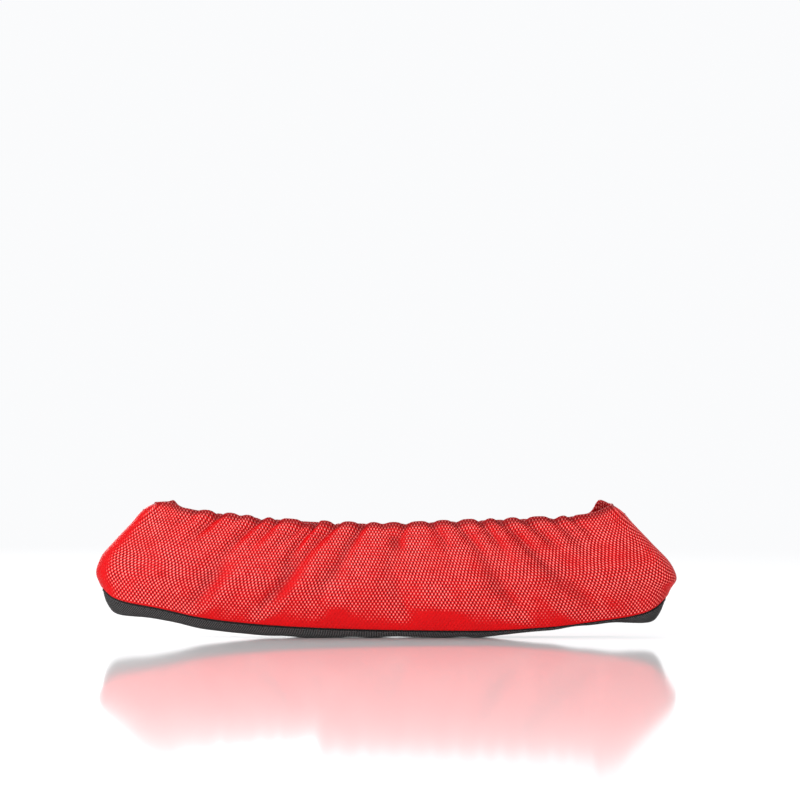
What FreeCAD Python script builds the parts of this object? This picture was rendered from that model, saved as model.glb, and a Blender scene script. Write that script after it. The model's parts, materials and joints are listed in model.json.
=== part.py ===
import FreeCAD, Part
import math
import os

import Sketcher
from FreeCAD import Vector

# Soft guard for an ice skate's blade, in the shape it has when it is worn: two cloth side panels
# sewn to a channel of ribbed webbing, with an absorbent lining, and an elastic in the hem of the mouth.
# Millimetres. +X points from toe to heel, +Y to the right side, +Z up. It stands on Z = 0.

# ---------------------------------------------------------------- driving dimensions

# The outer surface is a stack of level outlines, each a boat shape: two long side arcs and two end arcs.
COLUMNS = ("height", "toe", "heel", "half", "round")
LEVELS = {
    # level: height, reach to the toe, reach to the heel, half width, end radius
    "foot": (0.0, 139.0, 137.5, 12.8, 8.0),
    "flare": (17.0, 151.0, 149.5, 17.5, 10.0),
    "belly": (33.5, 157.5, 157.3, 20.5, 11.0),
    "waist": (48.0, 151.0, 147.5, 18.5, 9.5),
    "shoulder": (62.0, 137.5, 134.5, 14.5, 8.0),
    "lip": (76.0, 116.0, 114.5, 9.0, 6.0),
}

SIZES = {
    # side view: the walking face, the seam above it and the edge of the mouth
    "sole_flat": 45.0,
    "sole_toe_radius": 415.0,
    "sole_heel_radius": 490.0,
    "seam_height": 3.8,
    "seam_flat_toe": 10.0,
    "seam_flat_heel": 50.0,
    "seam_toe_radius": 578.0,
    "seam_heel_radius": 385.0,
    "mouth_height": 61.8,
    "mouth_radius": 600.0,
    # plies, from the outside in
    "panel_cloth": 1.0,
    "ply_gap": 0.15,
    "lining_cloth": 1.8,
    "webbing_inset": 0.5,
    "webbing_cloth": 1.8,
    "seam_gap": 0.3,
    "centre_gap": 0.2,
    # hem and elastic
    "hem_depth": 9.0,
    "hem_cloth": 1.0,
    "tunnel": 1.8,
    "elastic_gap": 0.3,
    "elastic_cloth": 1.2,
    # strips on the sole, inside
    "bed_inset": 3.4,
    "strip_cloth": 1.4,
    "pad_cloth": 2.6,
    "strip_gap": 0.1,
    # tapes that bind the seams at the two ends, inside
    "binding_inset": 4.0,
    "binding_cloth": 1.0,
    "binding_half": 2.5,
    "binding_low": 28.0,
    "binding_high": 56.0,
    # thread
    "thread": 0.34,
    "thread_lift": 0.03,
    "stitch_height": 0.6,
    "hem_stitch_drop": 8.4,
    "sole_stitch_drop": 1.6,
    # half sizes of the space that the trimming blocks fill
    "space_length": 170.0,
    "space_width": 40.0,
    "space_height": 95.0,
}

DOC = FreeCAD.newDocument("blade_guard")


def make_sheet():
    """Puts every driving dimension in a spreadsheet cell with an alias."""
    cells = dict(SIZES)
    for level, row in LEVELS.items():
        cells.update({f"{level}_{column}": value for column, value in zip(COLUMNS, row)})
    sheet = DOC.addObject("Spreadsheet::Sheet", "sizes")
    for line, (alias, value) in enumerate(cells.items(), start=1):
        sheet.set(f"A{line}", alias)
        sheet.set(f"B{line}", str(value))
        sheet.setAlias(f"B{line}", alias)
    DOC.recompute()
    return sheet


SHEET = make_sheet()


def value_of(expression):
    """What an expression of the sheet's cells gives."""
    return float(SHEET.evalExpression(expression))


# ---------------------------------------------------------------- sketches

# which point of a sketch's edge a constraint holds
START, END, CENTRE = 1, 2, 3
# a sketch's own origin and axes
X_AXIS, Y_AXIS = -1, -2


def new_sketch(body, name, role):
    """A sketch on one of its body's own origin planes."""
    plane = next(feature for feature in body.Origin.OriginFeatures if feature.Role == role)
    sketch = body.newObject("Sketcher::SketchObject", name)
    sketch.AttachmentSupport = [(plane, "")]
    sketch.MapMode = "FlatFace"
    return sketch


def bind(sketch, expression, kind, *items):
    """Adds a dimension to a sketch and ties it to the spreadsheet."""
    index = sketch.addConstraint(Sketcher.Constraint(kind, *items, value_of(expression)))
    sketch.setExpression(f"Constraints[{index}]", expression)


def hold(sketch, kind, *items):
    """Adds a constraint that has no size."""
    sketch.addConstraint(Sketcher.Constraint(kind, *items))


def arc_of(centre, radius, start, end):
    """An arc that runs counterclockwise between two angles."""
    return Part.ArcOfCircle(Part.Circle(centre, Vector(0, 0, 1), radius), start, end)


def side_arc(toe_x, heel_x, end_radius, half_width):
    """Centre X and radius of the long arc that is tangent to both end arcs and reaches the half width."""
    middle = (toe_x + heel_x) / 2
    span = (heel_x - toe_x) / 2
    bulge = half_width - end_radius
    return middle, (span**2 + bulge**2) / (2 * bulge) + end_radius


def level_sketch(body, level, inset):
    """The boat-shaped outline of one level, set in from the outer surface by an expression."""
    toe_reach = f"sizes.{level}_toe - sizes.{level}_round"
    heel_reach = f"sizes.{level}_heel - sizes.{level}_round"
    end_round = f"sizes.{level}_round - ({inset})"
    half_width = f"sizes.{level}_half - ({inset})"
    toe_x, heel_x = -value_of(toe_reach), value_of(heel_reach)
    end, half = value_of(end_round), value_of(half_width)
    middle, radius = side_arc(toe_x, heel_x, end, half)
    depth = radius - half
    to_toe = math.atan2(depth, toe_x - middle)
    to_heel = math.atan2(depth, heel_x - middle)

    sketch = new_sketch(body, f"{body.Name}_{level}", "XY_Plane")
    sketch.setExpression("AttachmentOffset.Base.z", f"sizes.{level}_height")
    right = sketch.addGeometry(arc_of(Vector(middle, -depth, 0), radius, to_heel, to_toe))
    toe = sketch.addGeometry(arc_of(Vector(toe_x, 0, 0), end, to_toe, 2 * math.pi - to_toe))
    left = sketch.addGeometry(arc_of(Vector(middle, depth, 0), radius, 2 * math.pi - to_toe, 2 * math.pi - to_heel))
    heel = sketch.addGeometry(arc_of(Vector(heel_x, 0, 0), end, -to_heel, to_heel))
    crown = sketch.addGeometry(Part.Point(Vector(middle, half, 0)), True)

    ring = (right, toe, left, heel)
    for first, second in zip(ring, ring[1:] + ring[:1]):
        hold(sketch, "Tangent", first, END, second, START)
    hold(sketch, "PointOnObject", toe, CENTRE, X_AXIS)
    hold(sketch, "PointOnObject", heel, CENTRE, X_AXIS)
    hold(sketch, "Equal", right, left)
    hold(sketch, "PointOnObject", crown, START, right)
    hold(sketch, "Vertical", crown, START, right, CENTRE)
    bind(sketch, toe_reach, "DistanceX", toe, CENTRE, X_AXIS, START)
    bind(sketch, heel_reach, "DistanceX", X_AXIS, START, heel, CENTRE)
    bind(sketch, end_round, "Radius", toe)
    bind(sketch, end_round, "Radius", heel)
    bind(sketch, half_width, "DistanceY", X_AXIS, START, crown, START)
    return sketch


def rocker_edge(sketch, flat_toe, flat_heel, toe_radius, heel_radius, height):
    """A level stretch with an arc rising from each end of it, out to the ends of the space."""
    reach, level = value_of("sizes.space_length"), value_of(height)
    toe_x, heel_x = -value_of(flat_toe), value_of(flat_heel)
    toe_size, heel_size = value_of(toe_radius), value_of(heel_radius)
    down = 1.5 * math.pi
    toe_turn = math.asin((reach + toe_x) / toe_size)
    heel_turn = math.asin((reach - heel_x) / heel_size)
    toe = sketch.addGeometry(arc_of(Vector(toe_x, level + toe_size, 0), toe_size, down - toe_turn, down))
    flat = sketch.addGeometry(Part.LineSegment(Vector(toe_x, level, 0), Vector(heel_x, level, 0)))
    heel = sketch.addGeometry(arc_of(Vector(heel_x, level + heel_size, 0), heel_size, down, down + heel_turn))
    hold(sketch, "Tangent", toe, END, flat, START)
    hold(sketch, "Tangent", flat, END, heel, START)
    hold(sketch, "Horizontal", flat)
    bind(sketch, flat_toe, "DistanceX", flat, START, X_AXIS, START)
    bind(sketch, flat_heel, "DistanceX", X_AXIS, START, flat, END)
    bind(sketch, toe_radius, "Radius", toe)
    bind(sketch, heel_radius, "Radius", heel)
    if level:
        bind(sketch, height, "DistanceY", X_AXIS, START, flat, START)
    else:
        hold(sketch, "PointOnObject", flat, START, X_AXIS)
    return (toe, START), (heel, END)


def sole_edge(sketch, rise):
    """The walking face in side view, moved up by an expression."""
    flat = "sizes.sole_flat"
    return rocker_edge(sketch, flat, flat, "sizes.sole_toe_radius", "sizes.sole_heel_radius", rise)


def seam_edge(sketch, rise):
    """The seam between panels and webbing in side view, moved up by an expression."""
    flats = ("sizes.seam_flat_toe", "sizes.seam_flat_heel")
    radii = ("sizes.seam_toe_radius", "sizes.seam_heel_radius")
    return rocker_edge(sketch, *flats, *radii, f"sizes.seam_height + ({rise})")


def mouth_edge(sketch, rise):
    """The edge of the mouth in side view, one long arc, moved up by an expression."""
    height = f"sizes.mouth_height + sizes.mouth_radius + ({rise})"
    radius, centre_z = value_of("sizes.mouth_radius"), value_of(height)
    turn = math.asin(value_of("sizes.space_length") / radius)
    down = 1.5 * math.pi
    edge = sketch.addGeometry(arc_of(Vector(0, centre_z, 0), radius, down - turn, down + turn))
    hold(sketch, "PointOnObject", edge, CENTRE, Y_AXIS)
    bind(sketch, "sizes.mouth_radius", "Radius", edge)
    bind(sketch, height, "DistanceY", X_AXIS, START, edge, CENTRE)
    return (edge, START), (edge, END)


def level_edge(sketch, height):
    """A level line across the whole space at an expression's height."""
    reach, level = value_of("sizes.space_length"), value_of(height)
    edge = sketch.addGeometry(Part.LineSegment(Vector(-reach, level, 0), Vector(reach, level, 0)))
    hold(sketch, "Horizontal", edge)
    bind(sketch, height, "DistanceY", X_AXIS, START, edge, START)
    return (edge, START), (edge, END)


# ---------------------------------------------------------------- building blocks, each made once

FORMS = {}
BANDS = {}


def form(inset):
    """The solid inside the outer surface after it is set in: a loft through the level outlines."""
    if inset not in FORMS:
        body = DOC.addObject("PartDesign::Body", "form")
        sketches = [level_sketch(body, level, inset) for level in LEVELS]
        loft = body.newObject("PartDesign::AdditiveLoft", f"{body.Name}_loft")
        loft.Profile = sketches[0]
        loft.Sections = sketches[1:]
        FORMS[inset] = body
    return FORMS[inset]


def band(low, high):
    """A block between two side-view edges, each given as its function and how far it is moved up."""
    if (low, high) not in BANDS:
        body = DOC.addObject("PartDesign::Body", "band")
        sketch = new_sketch(body, f"{body.Name}_outline", "XZ_Plane")
        low_ends, high_ends = (edge(sketch, rise) for edge, rise in (low, high))
        for end, (lower, upper) in enumerate(zip(low_ends, high_ends)):
            wall = sketch.addGeometry(Part.LineSegment(sketch.getPoint(*lower), sketch.getPoint(*upper)))
            hold(sketch, "Coincident", wall, START, *lower)
            hold(sketch, "Coincident", wall, END, *upper)
            hold(sketch, "Vertical", wall)
            items = (X_AXIS, START, wall, START) if end else (wall, START, X_AXIS, START)
            bind(sketch, "sizes.space_length", "DistanceX", *items)
        pad = body.newObject("PartDesign::Pad", f"{body.Name}_pad")
        pad.Profile = sketch
        pad.SideType = "Symmetric"
        pad.setExpression("Length", "sizes.space_width * 2")
        BANDS[(low, high)] = body
    return BANDS[(low, high)]


def block(name, low_x, high_x, low_y, high_y):
    """A box over the whole height of the space, with an expression for each side."""
    box = DOC.addObject("Part::Box", name)
    box.setExpression("Length", f"({high_x}) - ({low_x})")
    box.setExpression("Width", f"({high_y}) - ({low_y})")
    box.setExpression("Height", "sizes.space_height")
    box.setExpression("Placement.Base.x", low_x)
    box.setExpression("Placement.Base.y", low_y)
    return box


def cut(base, *tools):
    """base less each of the tools."""
    for tool in tools:
        result = DOC.addObject("Part::Cut", "cut")
        result.Base, result.Tool = base, tool
        base = result
    return base


def common(base, *others):
    """What base and all the others share."""
    for other in others:
        result = DOC.addObject("Part::Common", "common")
        result.Base, result.Tool = base, other
        base = result
    return base


def layer(outer, inner, low, high):
    """The shell between two insets of the outer surface, between two side-view edges."""
    return common(cut(form(outer), form(inner)), band(low, high))


REACH, WIDE, GAP = "sizes.space_length", "sizes.space_width", "sizes.centre_gap"
SIDES = {
    "left": block("left_half", f"-{REACH}", REACH, f"-{WIDE}", f"-{GAP}"),
    "right": block("right_half", f"-{REACH}", REACH, GAP, WIDE),
}

PANEL = "sizes.panel_cloth"
TUNNEL = f"{PANEL} + sizes.tunnel"
HEM = f"{TUNNEL} + sizes.hem_cloth"
TOP = (level_edge, "sizes.space_height - 5")

# ---------------------------------------------------------------- the pieces

PIECES = []


def keep(node, shape):
    """Names a finished piece after its node."""
    shape.Label = node
    PIECES.append(shape)


def sides_of(name, ring):
    """Keeps the left and the right half of a piece that goes all round."""
    for side, half in SIDES.items():
        keep(f"{name}_{side}", common(ring, half))


def thread_ring(surface, edge, drop):
    """A line of stitching laid on a surface, at a drop below a side-view edge."""
    inner = f"{surface} - sizes.thread_lift"
    outer = f"{inner} - sizes.thread"
    low = (edge, f"-{drop} - sizes.stitch_height")
    return layer(outer, inner, low, (edge, f"-{drop}"))


def make_webbing():
    """The channel of ribbed webbing: a floor to walk on, turned up along both sides and round both ends."""
    outer = common(form("sizes.webbing_inset"), band((sole_edge, "0"), (seam_edge, "-sizes.seam_gap")))
    hollow = common(form("sizes.webbing_inset + sizes.webbing_cloth"), band((sole_edge, "sizes.webbing_cloth"), TOP))
    keep("sole_webbing", cut(outer, hollow))


def make_bed():
    """The cut-proof strip and the absorbent pad that lie on the webbing, under the blade."""
    rise = "sizes.webbing_cloth + sizes.strip_gap"
    for node, cloth in (("cut_guard_strip", "sizes.strip_cloth"), ("blade_bed_pad", "sizes.pad_cloth")):
        top = f"{rise} + {cloth}"
        keep(node, common(form("sizes.bed_inset"), band((sole_edge, rise), (sole_edge, top))))
        rise = f"{top} + sizes.strip_gap"


def make_bindings():
    """The tapes that bind the raw edges where the panels meet at the toe and the heel."""
    outer = "sizes.binding_inset"
    height = ((level_edge, "sizes.binding_low"), (level_edge, "sizes.binding_high"))
    ring = layer(outer, f"{outer} + sizes.binding_cloth", *height)
    half = "sizes.binding_half"
    keep("toe_seam_binding", common(ring, block("toe_end", f"-{REACH}", "-sizes.mouth_height", f"-{half}", half)))
    keep("heel_seam_binding", common(ring, block("heel_end", "sizes.mouth_height", REACH, f"-{half}", half)))


def make_panels():
    """The outer cloth panels, each with its top edge turned in and down as a hem round the elastic."""
    wall = common(form("0"), band((seam_edge, "0"), (mouth_edge, "0")))
    below_hem = common(form(PANEL), band((level_edge, "-sizes.space_width"), (mouth_edge, "-sizes.hem_depth")))
    tunnel_band = band((mouth_edge, "-sizes.hem_depth - sizes.seam_gap"), (mouth_edge, "-sizes.hem_cloth"))
    tunnel = common(form(PANEL), tunnel_band)
    flap = common(form(TUNNEL), tunnel_band)
    inside = form(HEM)
    sides_of("outer_panel", cut(wall, below_hem, cut(tunnel, flap), inside))


def make_linings():
    """The absorbent lining behind each panel, from the seam up to the hem."""
    outer = f"{PANEL} + sizes.ply_gap"
    top = (mouth_edge, "-sizes.hem_depth - sizes.seam_gap")
    sides_of("lining", layer(outer, f"{outer} + sizes.lining_cloth", (seam_edge, "sizes.seam_gap"), top))


def make_elastics():
    """The flat elastic in the hem's tunnel, half of it on each side."""
    outer = f"{PANEL} + sizes.elastic_gap"
    low = (mouth_edge, "-sizes.hem_depth + sizes.elastic_gap + sizes.hem_cloth")
    high = (mouth_edge, "-sizes.hem_cloth - sizes.elastic_gap")
    sides_of("mouth_elastic", layer(outer, f"{outer} + sizes.elastic_cloth", low, high))


def make_stitching():
    """The stitching that closes the hem and the stitching that holds the webbing to the panels."""
    sides_of("hem_stitching", thread_ring("0", mouth_edge, "sizes.hem_stitch_drop"))
    sides_of("sole_stitching", thread_ring("sizes.webbing_inset", seam_edge, "sizes.sole_stitch_drop"))


make_webbing()
make_bed()
make_bindings()
make_panels()
make_linings()
make_elastics()
make_stitching()
DOC.recompute()

# ---------------------------------------------------------------- checks and files

for thing in DOC.Objects:
    if {"Invalid", "Error"} & set(thing.State):
        raise RuntimeError(f"{thing.Name} ({thing.Label}) failed: {thing.State}")
    if thing.TypeId == "Sketcher::SketchObject" and thing.solve() != 0:
        raise RuntimeError(f"{thing.Name} is not solved")

os.makedirs("parts", exist_ok=True)
for piece in PIECES:
    solid = piece.Shape
    if solid.isNull() or not solid.isValid() or not solid.Solids:
        raise RuntimeError(f"{piece.Label} has no valid solid")
    solid.exportStep(f"parts/{piece.Label}.step")
    print(f"{piece.Label}: {solid.Volume:.0f} mm3 in {len(solid.Solids)} solid(s)")
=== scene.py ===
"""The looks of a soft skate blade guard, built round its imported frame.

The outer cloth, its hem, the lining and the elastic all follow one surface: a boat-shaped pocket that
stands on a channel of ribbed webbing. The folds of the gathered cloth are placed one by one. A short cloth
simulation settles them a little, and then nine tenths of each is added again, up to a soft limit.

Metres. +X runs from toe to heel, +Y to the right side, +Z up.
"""

import enum
import json
import logging
import math
from dataclasses import dataclass, field
from typing import Sequence

import bmesh
import bpy
import mathutils
import numpy as np
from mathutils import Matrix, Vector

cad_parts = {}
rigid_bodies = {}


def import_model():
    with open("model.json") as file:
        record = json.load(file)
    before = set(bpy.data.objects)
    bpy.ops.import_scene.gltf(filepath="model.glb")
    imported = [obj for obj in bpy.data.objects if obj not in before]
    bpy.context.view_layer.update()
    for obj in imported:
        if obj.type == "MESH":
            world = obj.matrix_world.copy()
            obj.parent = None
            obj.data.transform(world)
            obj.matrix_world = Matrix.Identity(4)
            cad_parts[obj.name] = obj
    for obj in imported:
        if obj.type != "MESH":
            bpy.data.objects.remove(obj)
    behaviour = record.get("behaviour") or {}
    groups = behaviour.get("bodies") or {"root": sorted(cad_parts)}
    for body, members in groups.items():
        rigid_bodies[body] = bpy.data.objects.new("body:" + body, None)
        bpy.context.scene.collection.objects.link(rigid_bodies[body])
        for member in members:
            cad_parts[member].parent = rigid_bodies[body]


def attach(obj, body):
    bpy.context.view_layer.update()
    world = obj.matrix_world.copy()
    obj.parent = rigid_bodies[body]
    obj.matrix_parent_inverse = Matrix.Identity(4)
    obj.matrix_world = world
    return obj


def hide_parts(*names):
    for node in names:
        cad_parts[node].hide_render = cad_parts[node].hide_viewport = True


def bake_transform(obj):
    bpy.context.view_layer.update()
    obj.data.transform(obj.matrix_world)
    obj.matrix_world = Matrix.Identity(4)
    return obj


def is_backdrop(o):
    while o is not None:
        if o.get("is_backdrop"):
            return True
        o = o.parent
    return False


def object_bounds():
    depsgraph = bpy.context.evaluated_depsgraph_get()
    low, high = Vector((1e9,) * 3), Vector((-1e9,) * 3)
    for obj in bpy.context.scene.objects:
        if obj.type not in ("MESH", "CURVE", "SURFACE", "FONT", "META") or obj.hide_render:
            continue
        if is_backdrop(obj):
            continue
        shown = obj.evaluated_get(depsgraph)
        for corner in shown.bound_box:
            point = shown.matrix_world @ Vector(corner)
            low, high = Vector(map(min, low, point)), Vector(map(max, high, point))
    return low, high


LOG = logging.getLogger("blade_guard")

Knots = tuple[tuple[float, float], ...]
Color = tuple[float, float, float, float]
Fade = tuple[float, float, float, float]

MM = 0.001
SOLE = "sole"


class Side(enum.Enum):
    """The guard's two long sides, with the sign of Y on each."""

    LEFT = -1
    RIGHT = 1

    @property
    def body(self) -> str:
        """The CAD body that this side's cloth follows."""
        return f"{self.name.lower()}_side"

    def node(self, name: str) -> str:
        """The CAD node of a piece on this side."""
        return f"{name}_{self.name.lower()}"


class End(enum.Enum):
    """The guard's two ends, with the sign of X at each."""

    TOE = -1
    HEEL = 1


# ---------------------------------------------------------------- curves and surfaces


def smooth(low: float, high: float, value: np.ndarray) -> np.ndarray:
    """A ramp from 0 at low to 1 at high, level at both ends.

    Args:
        low: where the ramp starts.
        high: where it ends; it may be less than low.
        value: where to read it.

    Returns:
        The ramp's height at each value.
    """
    share = np.clip((value - low) / (high - low), 0.0, 1.0)
    return share * share * (3.0 - 2.0 * share)


def through(knots: Knots, at: np.ndarray) -> np.ndarray:
    """A smooth curve through knots that doesn't overshoot between them.

    Args:
        knots: pairs of position and value, in order.
        at: where to read the curve.

    Returns:
        The curve's value at each place, held level past both ends.
    """
    place, value = np.array(knots).T
    step = np.diff(place)
    slope = np.diff(value) / step
    before, after = slope[:-1], slope[1:]
    weight = (2.0 * step[1:] + step[:-1], step[1:] + 2.0 * step[:-1])
    same_way = before * after > 0.0
    safe = np.where(same_way, before, 1.0), np.where(same_way, after, 1.0)
    inner = np.where(same_way, (weight[0] + weight[1]) / (weight[0] / safe[0] + weight[1] / safe[1]), 0.0)
    tangent = np.concatenate([slope[:1], inner, slope[-1:]])
    at = np.clip(at, place[0], place[-1])
    i = np.clip(np.searchsorted(place, at, side="right") - 1, 0, len(step) - 1)
    share = (at - place[i]) / step[i]
    rest = 1.0 - share
    return (
        value[i] * (1.0 + 2.0 * share) * rest**2
        + tangent[i] * step[i] * share * rest**2
        + value[i + 1] * (3.0 - 2.0 * share) * share**2
        - tangent[i + 1] * step[i] * rest * share**2
    )


def unit(vectors: np.ndarray) -> np.ndarray:
    """The vectors at length one."""
    return vectors / np.maximum(np.linalg.norm(vectors, axis=-1, keepdims=True), 1e-12)


def finer(grid: np.ndarray, times: int, ring: bool) -> np.ndarray:
    """A grid of points with more columns, on smooth curves through the old ones.

    Args:
        grid: points, columns first.
        times: new columns for each old one.
        ring: whether the last column joins the first.

    Returns:
        The finer grid, with columns first.
    """
    count = len(grid)
    if ring:
        padded = np.concatenate([grid[-1:], grid, grid[:2]])
        spans = count
    else:
        padded = np.concatenate([2 * grid[:1] - grid[1:2], grid, 2 * grid[-1:] - grid[-2:-1]])
        spans = count - 1
    pieces = []
    for part in range(times):
        share = part / times
        a, b, c, d = (padded[k : k + spans] for k in range(4))
        pieces.append(
            b
            + 0.5 * share * (c - a)
            + share**2 * (a - 2.5 * b + 2 * c - 0.5 * d)
            + share**3 * (1.5 * (b - c) + 0.5 * (d - a))
        )
    fine = np.stack(pieces, axis=1).reshape(spans * times, *grid.shape[1:])
    return fine if ring else np.concatenate([fine, grid[-1:]])


def ring_normals(grid: np.ndarray) -> np.ndarray:
    """Normals of a ring of columns, outwards from the pocket.

    Args:
        grid: points, columns round the ring first, then rows upwards.

    Returns:
        One unit normal for each point.
    """
    around = np.roll(grid, -1, axis=0) - np.roll(grid, 1, axis=0)
    upwards = np.gradient(grid, axis=1)
    return unit(np.cross(around, upwards))


@dataclass(frozen=True)
class GuardForm:
    """The pocket's surface, as level outlines and side-view curves. Each knot is (place, value) in metres."""

    toe_reach: Knots = (
        (0.000, 0.1398),
        (0.011, 0.1478),
        (0.020, 0.1529),
        (0.027, 0.1548),
        (0.035, 0.1575),
        (0.043, 0.1549),
        (0.052, 0.1474),
        (0.062, 0.1380),
        (0.0692, 0.1318),
        (0.0733, 0.1245),
        (0.077, 0.112),
    )
    heel_reach: Knots = (
        (0.000, 0.1388),
        (0.008, 0.1455),
        (0.0135, 0.1490),
        (0.0185, 0.1510),
        (0.026, 0.1540),
        (0.032, 0.1573),
        (0.038, 0.1551),
        (0.051, 0.1435),
        (0.062, 0.1332),
        (0.0685, 0.1275),
        (0.0735, 0.1185),
        (0.077, 0.105),
    )
    half_width: Knots = (
        (0.000, 0.0128),
        (0.017, 0.0175),
        (0.033, 0.0203),
        (0.048, 0.0185),
        (0.062, 0.0145),
        (0.077, 0.0085),
    )
    end_round: Knots = (
        (0.000, 0.0080),
        (0.017, 0.0100),
        (0.033, 0.0110),
        (0.048, 0.0095),
        (0.062, 0.0080),
        (0.077, 0.0055),
    )
    sole: Knots = (
        (-0.156, 0.0150),
        (-0.145, 0.0115),
        (-0.130, 0.0103),
        (-0.114, 0.0072),
        (-0.092, 0.0032),
        (-0.070, 0.0011),
        (-0.045, 0.0),
        (0.042, 0.0),
        (0.0640, 0.0010),
        (0.0740, 0.0022),
        (0.0920, 0.0041),
        (0.1080, 0.0064),
        (0.1260, 0.0079),
        (0.1410, 0.0073),
        (0.155, 0.0110),
    )
    seam: Knots = (
        (-0.158, 0.0297),
        (-0.1538, 0.0268),
        (-0.149, 0.0227),
        (-0.141, 0.0198),
        (-0.125, 0.0168),
        (-0.100, 0.0114),
        (-0.074, 0.0082),
        (-0.035, 0.0058),
        (0.010, 0.0046),
        (0.050, 0.0043),
        (0.083, 0.0058),
        (0.110, 0.0088),
        (0.139, 0.0137),
        (0.146, 0.0170),
        (0.151, 0.0214),
        (0.156, 0.0260),
    )
    mouth: Knots = (
        (-0.128, 0.0742),
        (-0.1175, 0.0735),
        (-0.110, 0.0706),
        (-0.098, 0.0694),
        (-0.070, 0.0662),
        (-0.040, 0.0639),
        (0.000, 0.0628),
        (0.035, 0.0641),
        (0.075, 0.0656),
        (0.104, 0.0668),
        (0.113, 0.0684),
        (0.1175, 0.0702),
        (0.123, 0.0728),
    )
    searches: int = 28
    ceiling: float = 0.0765

    def level(self, share: np.ndarray, height: np.ndarray, inset: float = 0.0) -> np.ndarray:
        """Points on the left half of level outlines.

        Args:
            share: how far along the outline, 0 at the toe and 1 at the heel.
            height: each outline's height.
            inset: how far inside the outer surface.

        Returns:
            Points, with Y negative.
        """
        end = through(self.end_round, height) - inset
        half = through(self.half_width, height) - inset
        toe_x = -through(self.toe_reach, height) + inset + end
        heel_x = through(self.heel_reach, height) - inset - end
        middle, span = (toe_x + heel_x) / 2, (heel_x - toe_x) / 2
        radius = (span**2 + half**2 - end**2) / (2 * (half - end))
        turn = np.arcsin(span / (radius - end))
        cap = end * (np.pi / 2 - turn)
        total = 2 * (cap + radius * turn)
        run = share * total
        side = (run - cap) / radius - turn
        x = middle + radius * np.sin(side)
        y = half - radius * (1 - np.cos(side))
        at_toe, at_heel = run < cap, run > total - cap
        toe_angle, heel_angle = run / end, (total - run) / end
        x = np.where(at_toe, toe_x - end * np.cos(toe_angle), x)
        y = np.where(at_toe, end * np.sin(toe_angle), y)
        x = np.where(at_heel, heel_x + end * np.cos(heel_angle), x)
        y = np.where(at_heel, end * np.sin(heel_angle), y)
        return np.stack([x, -np.maximum(y, 0.0), np.broadcast_to(height, x.shape)], axis=-1)

    def meets(self, share: np.ndarray, edge: Knots, inset: float, rise: float) -> np.ndarray:
        """Height at which each column of the surface crosses a side-view curve.

        Args:
            share: the columns, 0 at the toe and 1 at the heel.
            edge: the curve.
            inset: how far inside the outer surface.
            rise: how far the curve is moved up.

        Returns:
            One height for each column.
        """
        low, high = np.zeros_like(share), np.full_like(share, self.ceiling)
        for _ in range(self.searches):
            height = (low + high) / 2
            above = height > through(edge, self.level(share, height, inset)[..., 0]) + rise
            low, high = np.where(above, low, height), np.where(above, height, high)
        return (low + high) / 2

    def wall(
        self,
        columns: int,
        rows: int,
        bottom: tuple[Knots, float],
        top: tuple[Knots, float],
        inset: float = 0.0,
    ) -> np.ndarray:
        """The whole wall as a ring of columns: the left side from toe to heel, then the right side back.

        Args:
            columns: number of spaces along one side.
            rows: number of spaces from bottom to top.
            bottom: the lower side-view curve and how far it is moved up.
            top: the upper one, likewise.
            inset: how far inside the outer surface.

        Returns:
            Points, columns first and rows upwards, evenly spaced along each column.
        """
        share = np.linspace(0.0, 1.0, columns + 1)
        low = self.meets(share, bottom[0], inset, bottom[1])
        high = self.meets(share, top[0], inset, top[1])
        dense = np.linspace(0.0, 1.0, 4 * rows + 1)
        height = low[:, None] + (high - low)[:, None] * dense
        line = self.level(np.repeat(share[:, None], len(dense), axis=1), height, inset)
        run = np.zeros(line.shape[:2])
        run[:, 1:] = np.cumsum(np.linalg.norm(np.diff(line, axis=1), axis=2), axis=1)
        even = np.linspace(0.0, 1.0, rows + 1)
        left = np.stack(
            [
                np.stack([np.interp(even * run[i, -1], run[i], line[i, :, k]) for k in range(3)], axis=-1)
                for i in range(columns + 1)
            ]
        )
        right = left[-2:0:-1] * np.array([1.0, -1.0, 1.0])
        return np.concatenate([left, right])


FORM = GuardForm()


# ---------------------------------------------------------------- meshes


def mesh_object(name: str, points: np.ndarray, faces: Sequence[Sequence[int]]) -> bpy.types.Object:
    """A smooth mesh object at the origin.

    Args:
        name: the piece's name.
        points: its points.
        faces: indices of each face's points.

    Returns:
        The new object, linked to the scene.
    """
    mesh = bpy.data.meshes.new(name)
    mesh.from_pydata(points.reshape(-1, 3).tolist(), [], [list(f) for f in faces])
    mesh.polygons.foreach_set("use_smooth", [True] * len(mesh.polygons))
    piece = bpy.data.objects.new(name, mesh)
    bpy.context.scene.collection.objects.link(piece)
    return piece


def grid_faces(columns: int, rows: int, ring: bool = False) -> np.ndarray:
    """Quads of a grid stored columns first.

    Args:
        columns: number of columns of points.
        rows: number of points in a column.
        ring: whether the last column joins the first.

    Returns:
        One row of four indices for each quad, facing outwards on the pocket.
    """
    spans = columns if ring else columns - 1
    i, j = np.meshgrid(np.arange(spans), np.arange(rows - 1), indexing="ij")
    a, b = i * rows + j, ((i + 1) % columns) * rows + j
    return np.stack([a, b, b + 1, a + 1], axis=-1).reshape(-1, 4)


def paint_uv(piece: bpy.types.Object, cut: np.ndarray, name: str = "cloth") -> None:
    """Gives a piece a UV map in metres, from one pair for each point.

    Args:
        piece: the mesh object.
        cut: where each point lies on the flat cloth.
        name: the map's name.
    """
    mesh = piece.data
    index = np.zeros(len(mesh.loops), dtype=np.int32)
    mesh.loops.foreach_get("vertex_index", index)
    layer = mesh.uv_layers.new(name=name)
    layer.data.foreach_set("uv", cut.reshape(-1, 2)[index].astype(np.float32).ravel())


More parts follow.
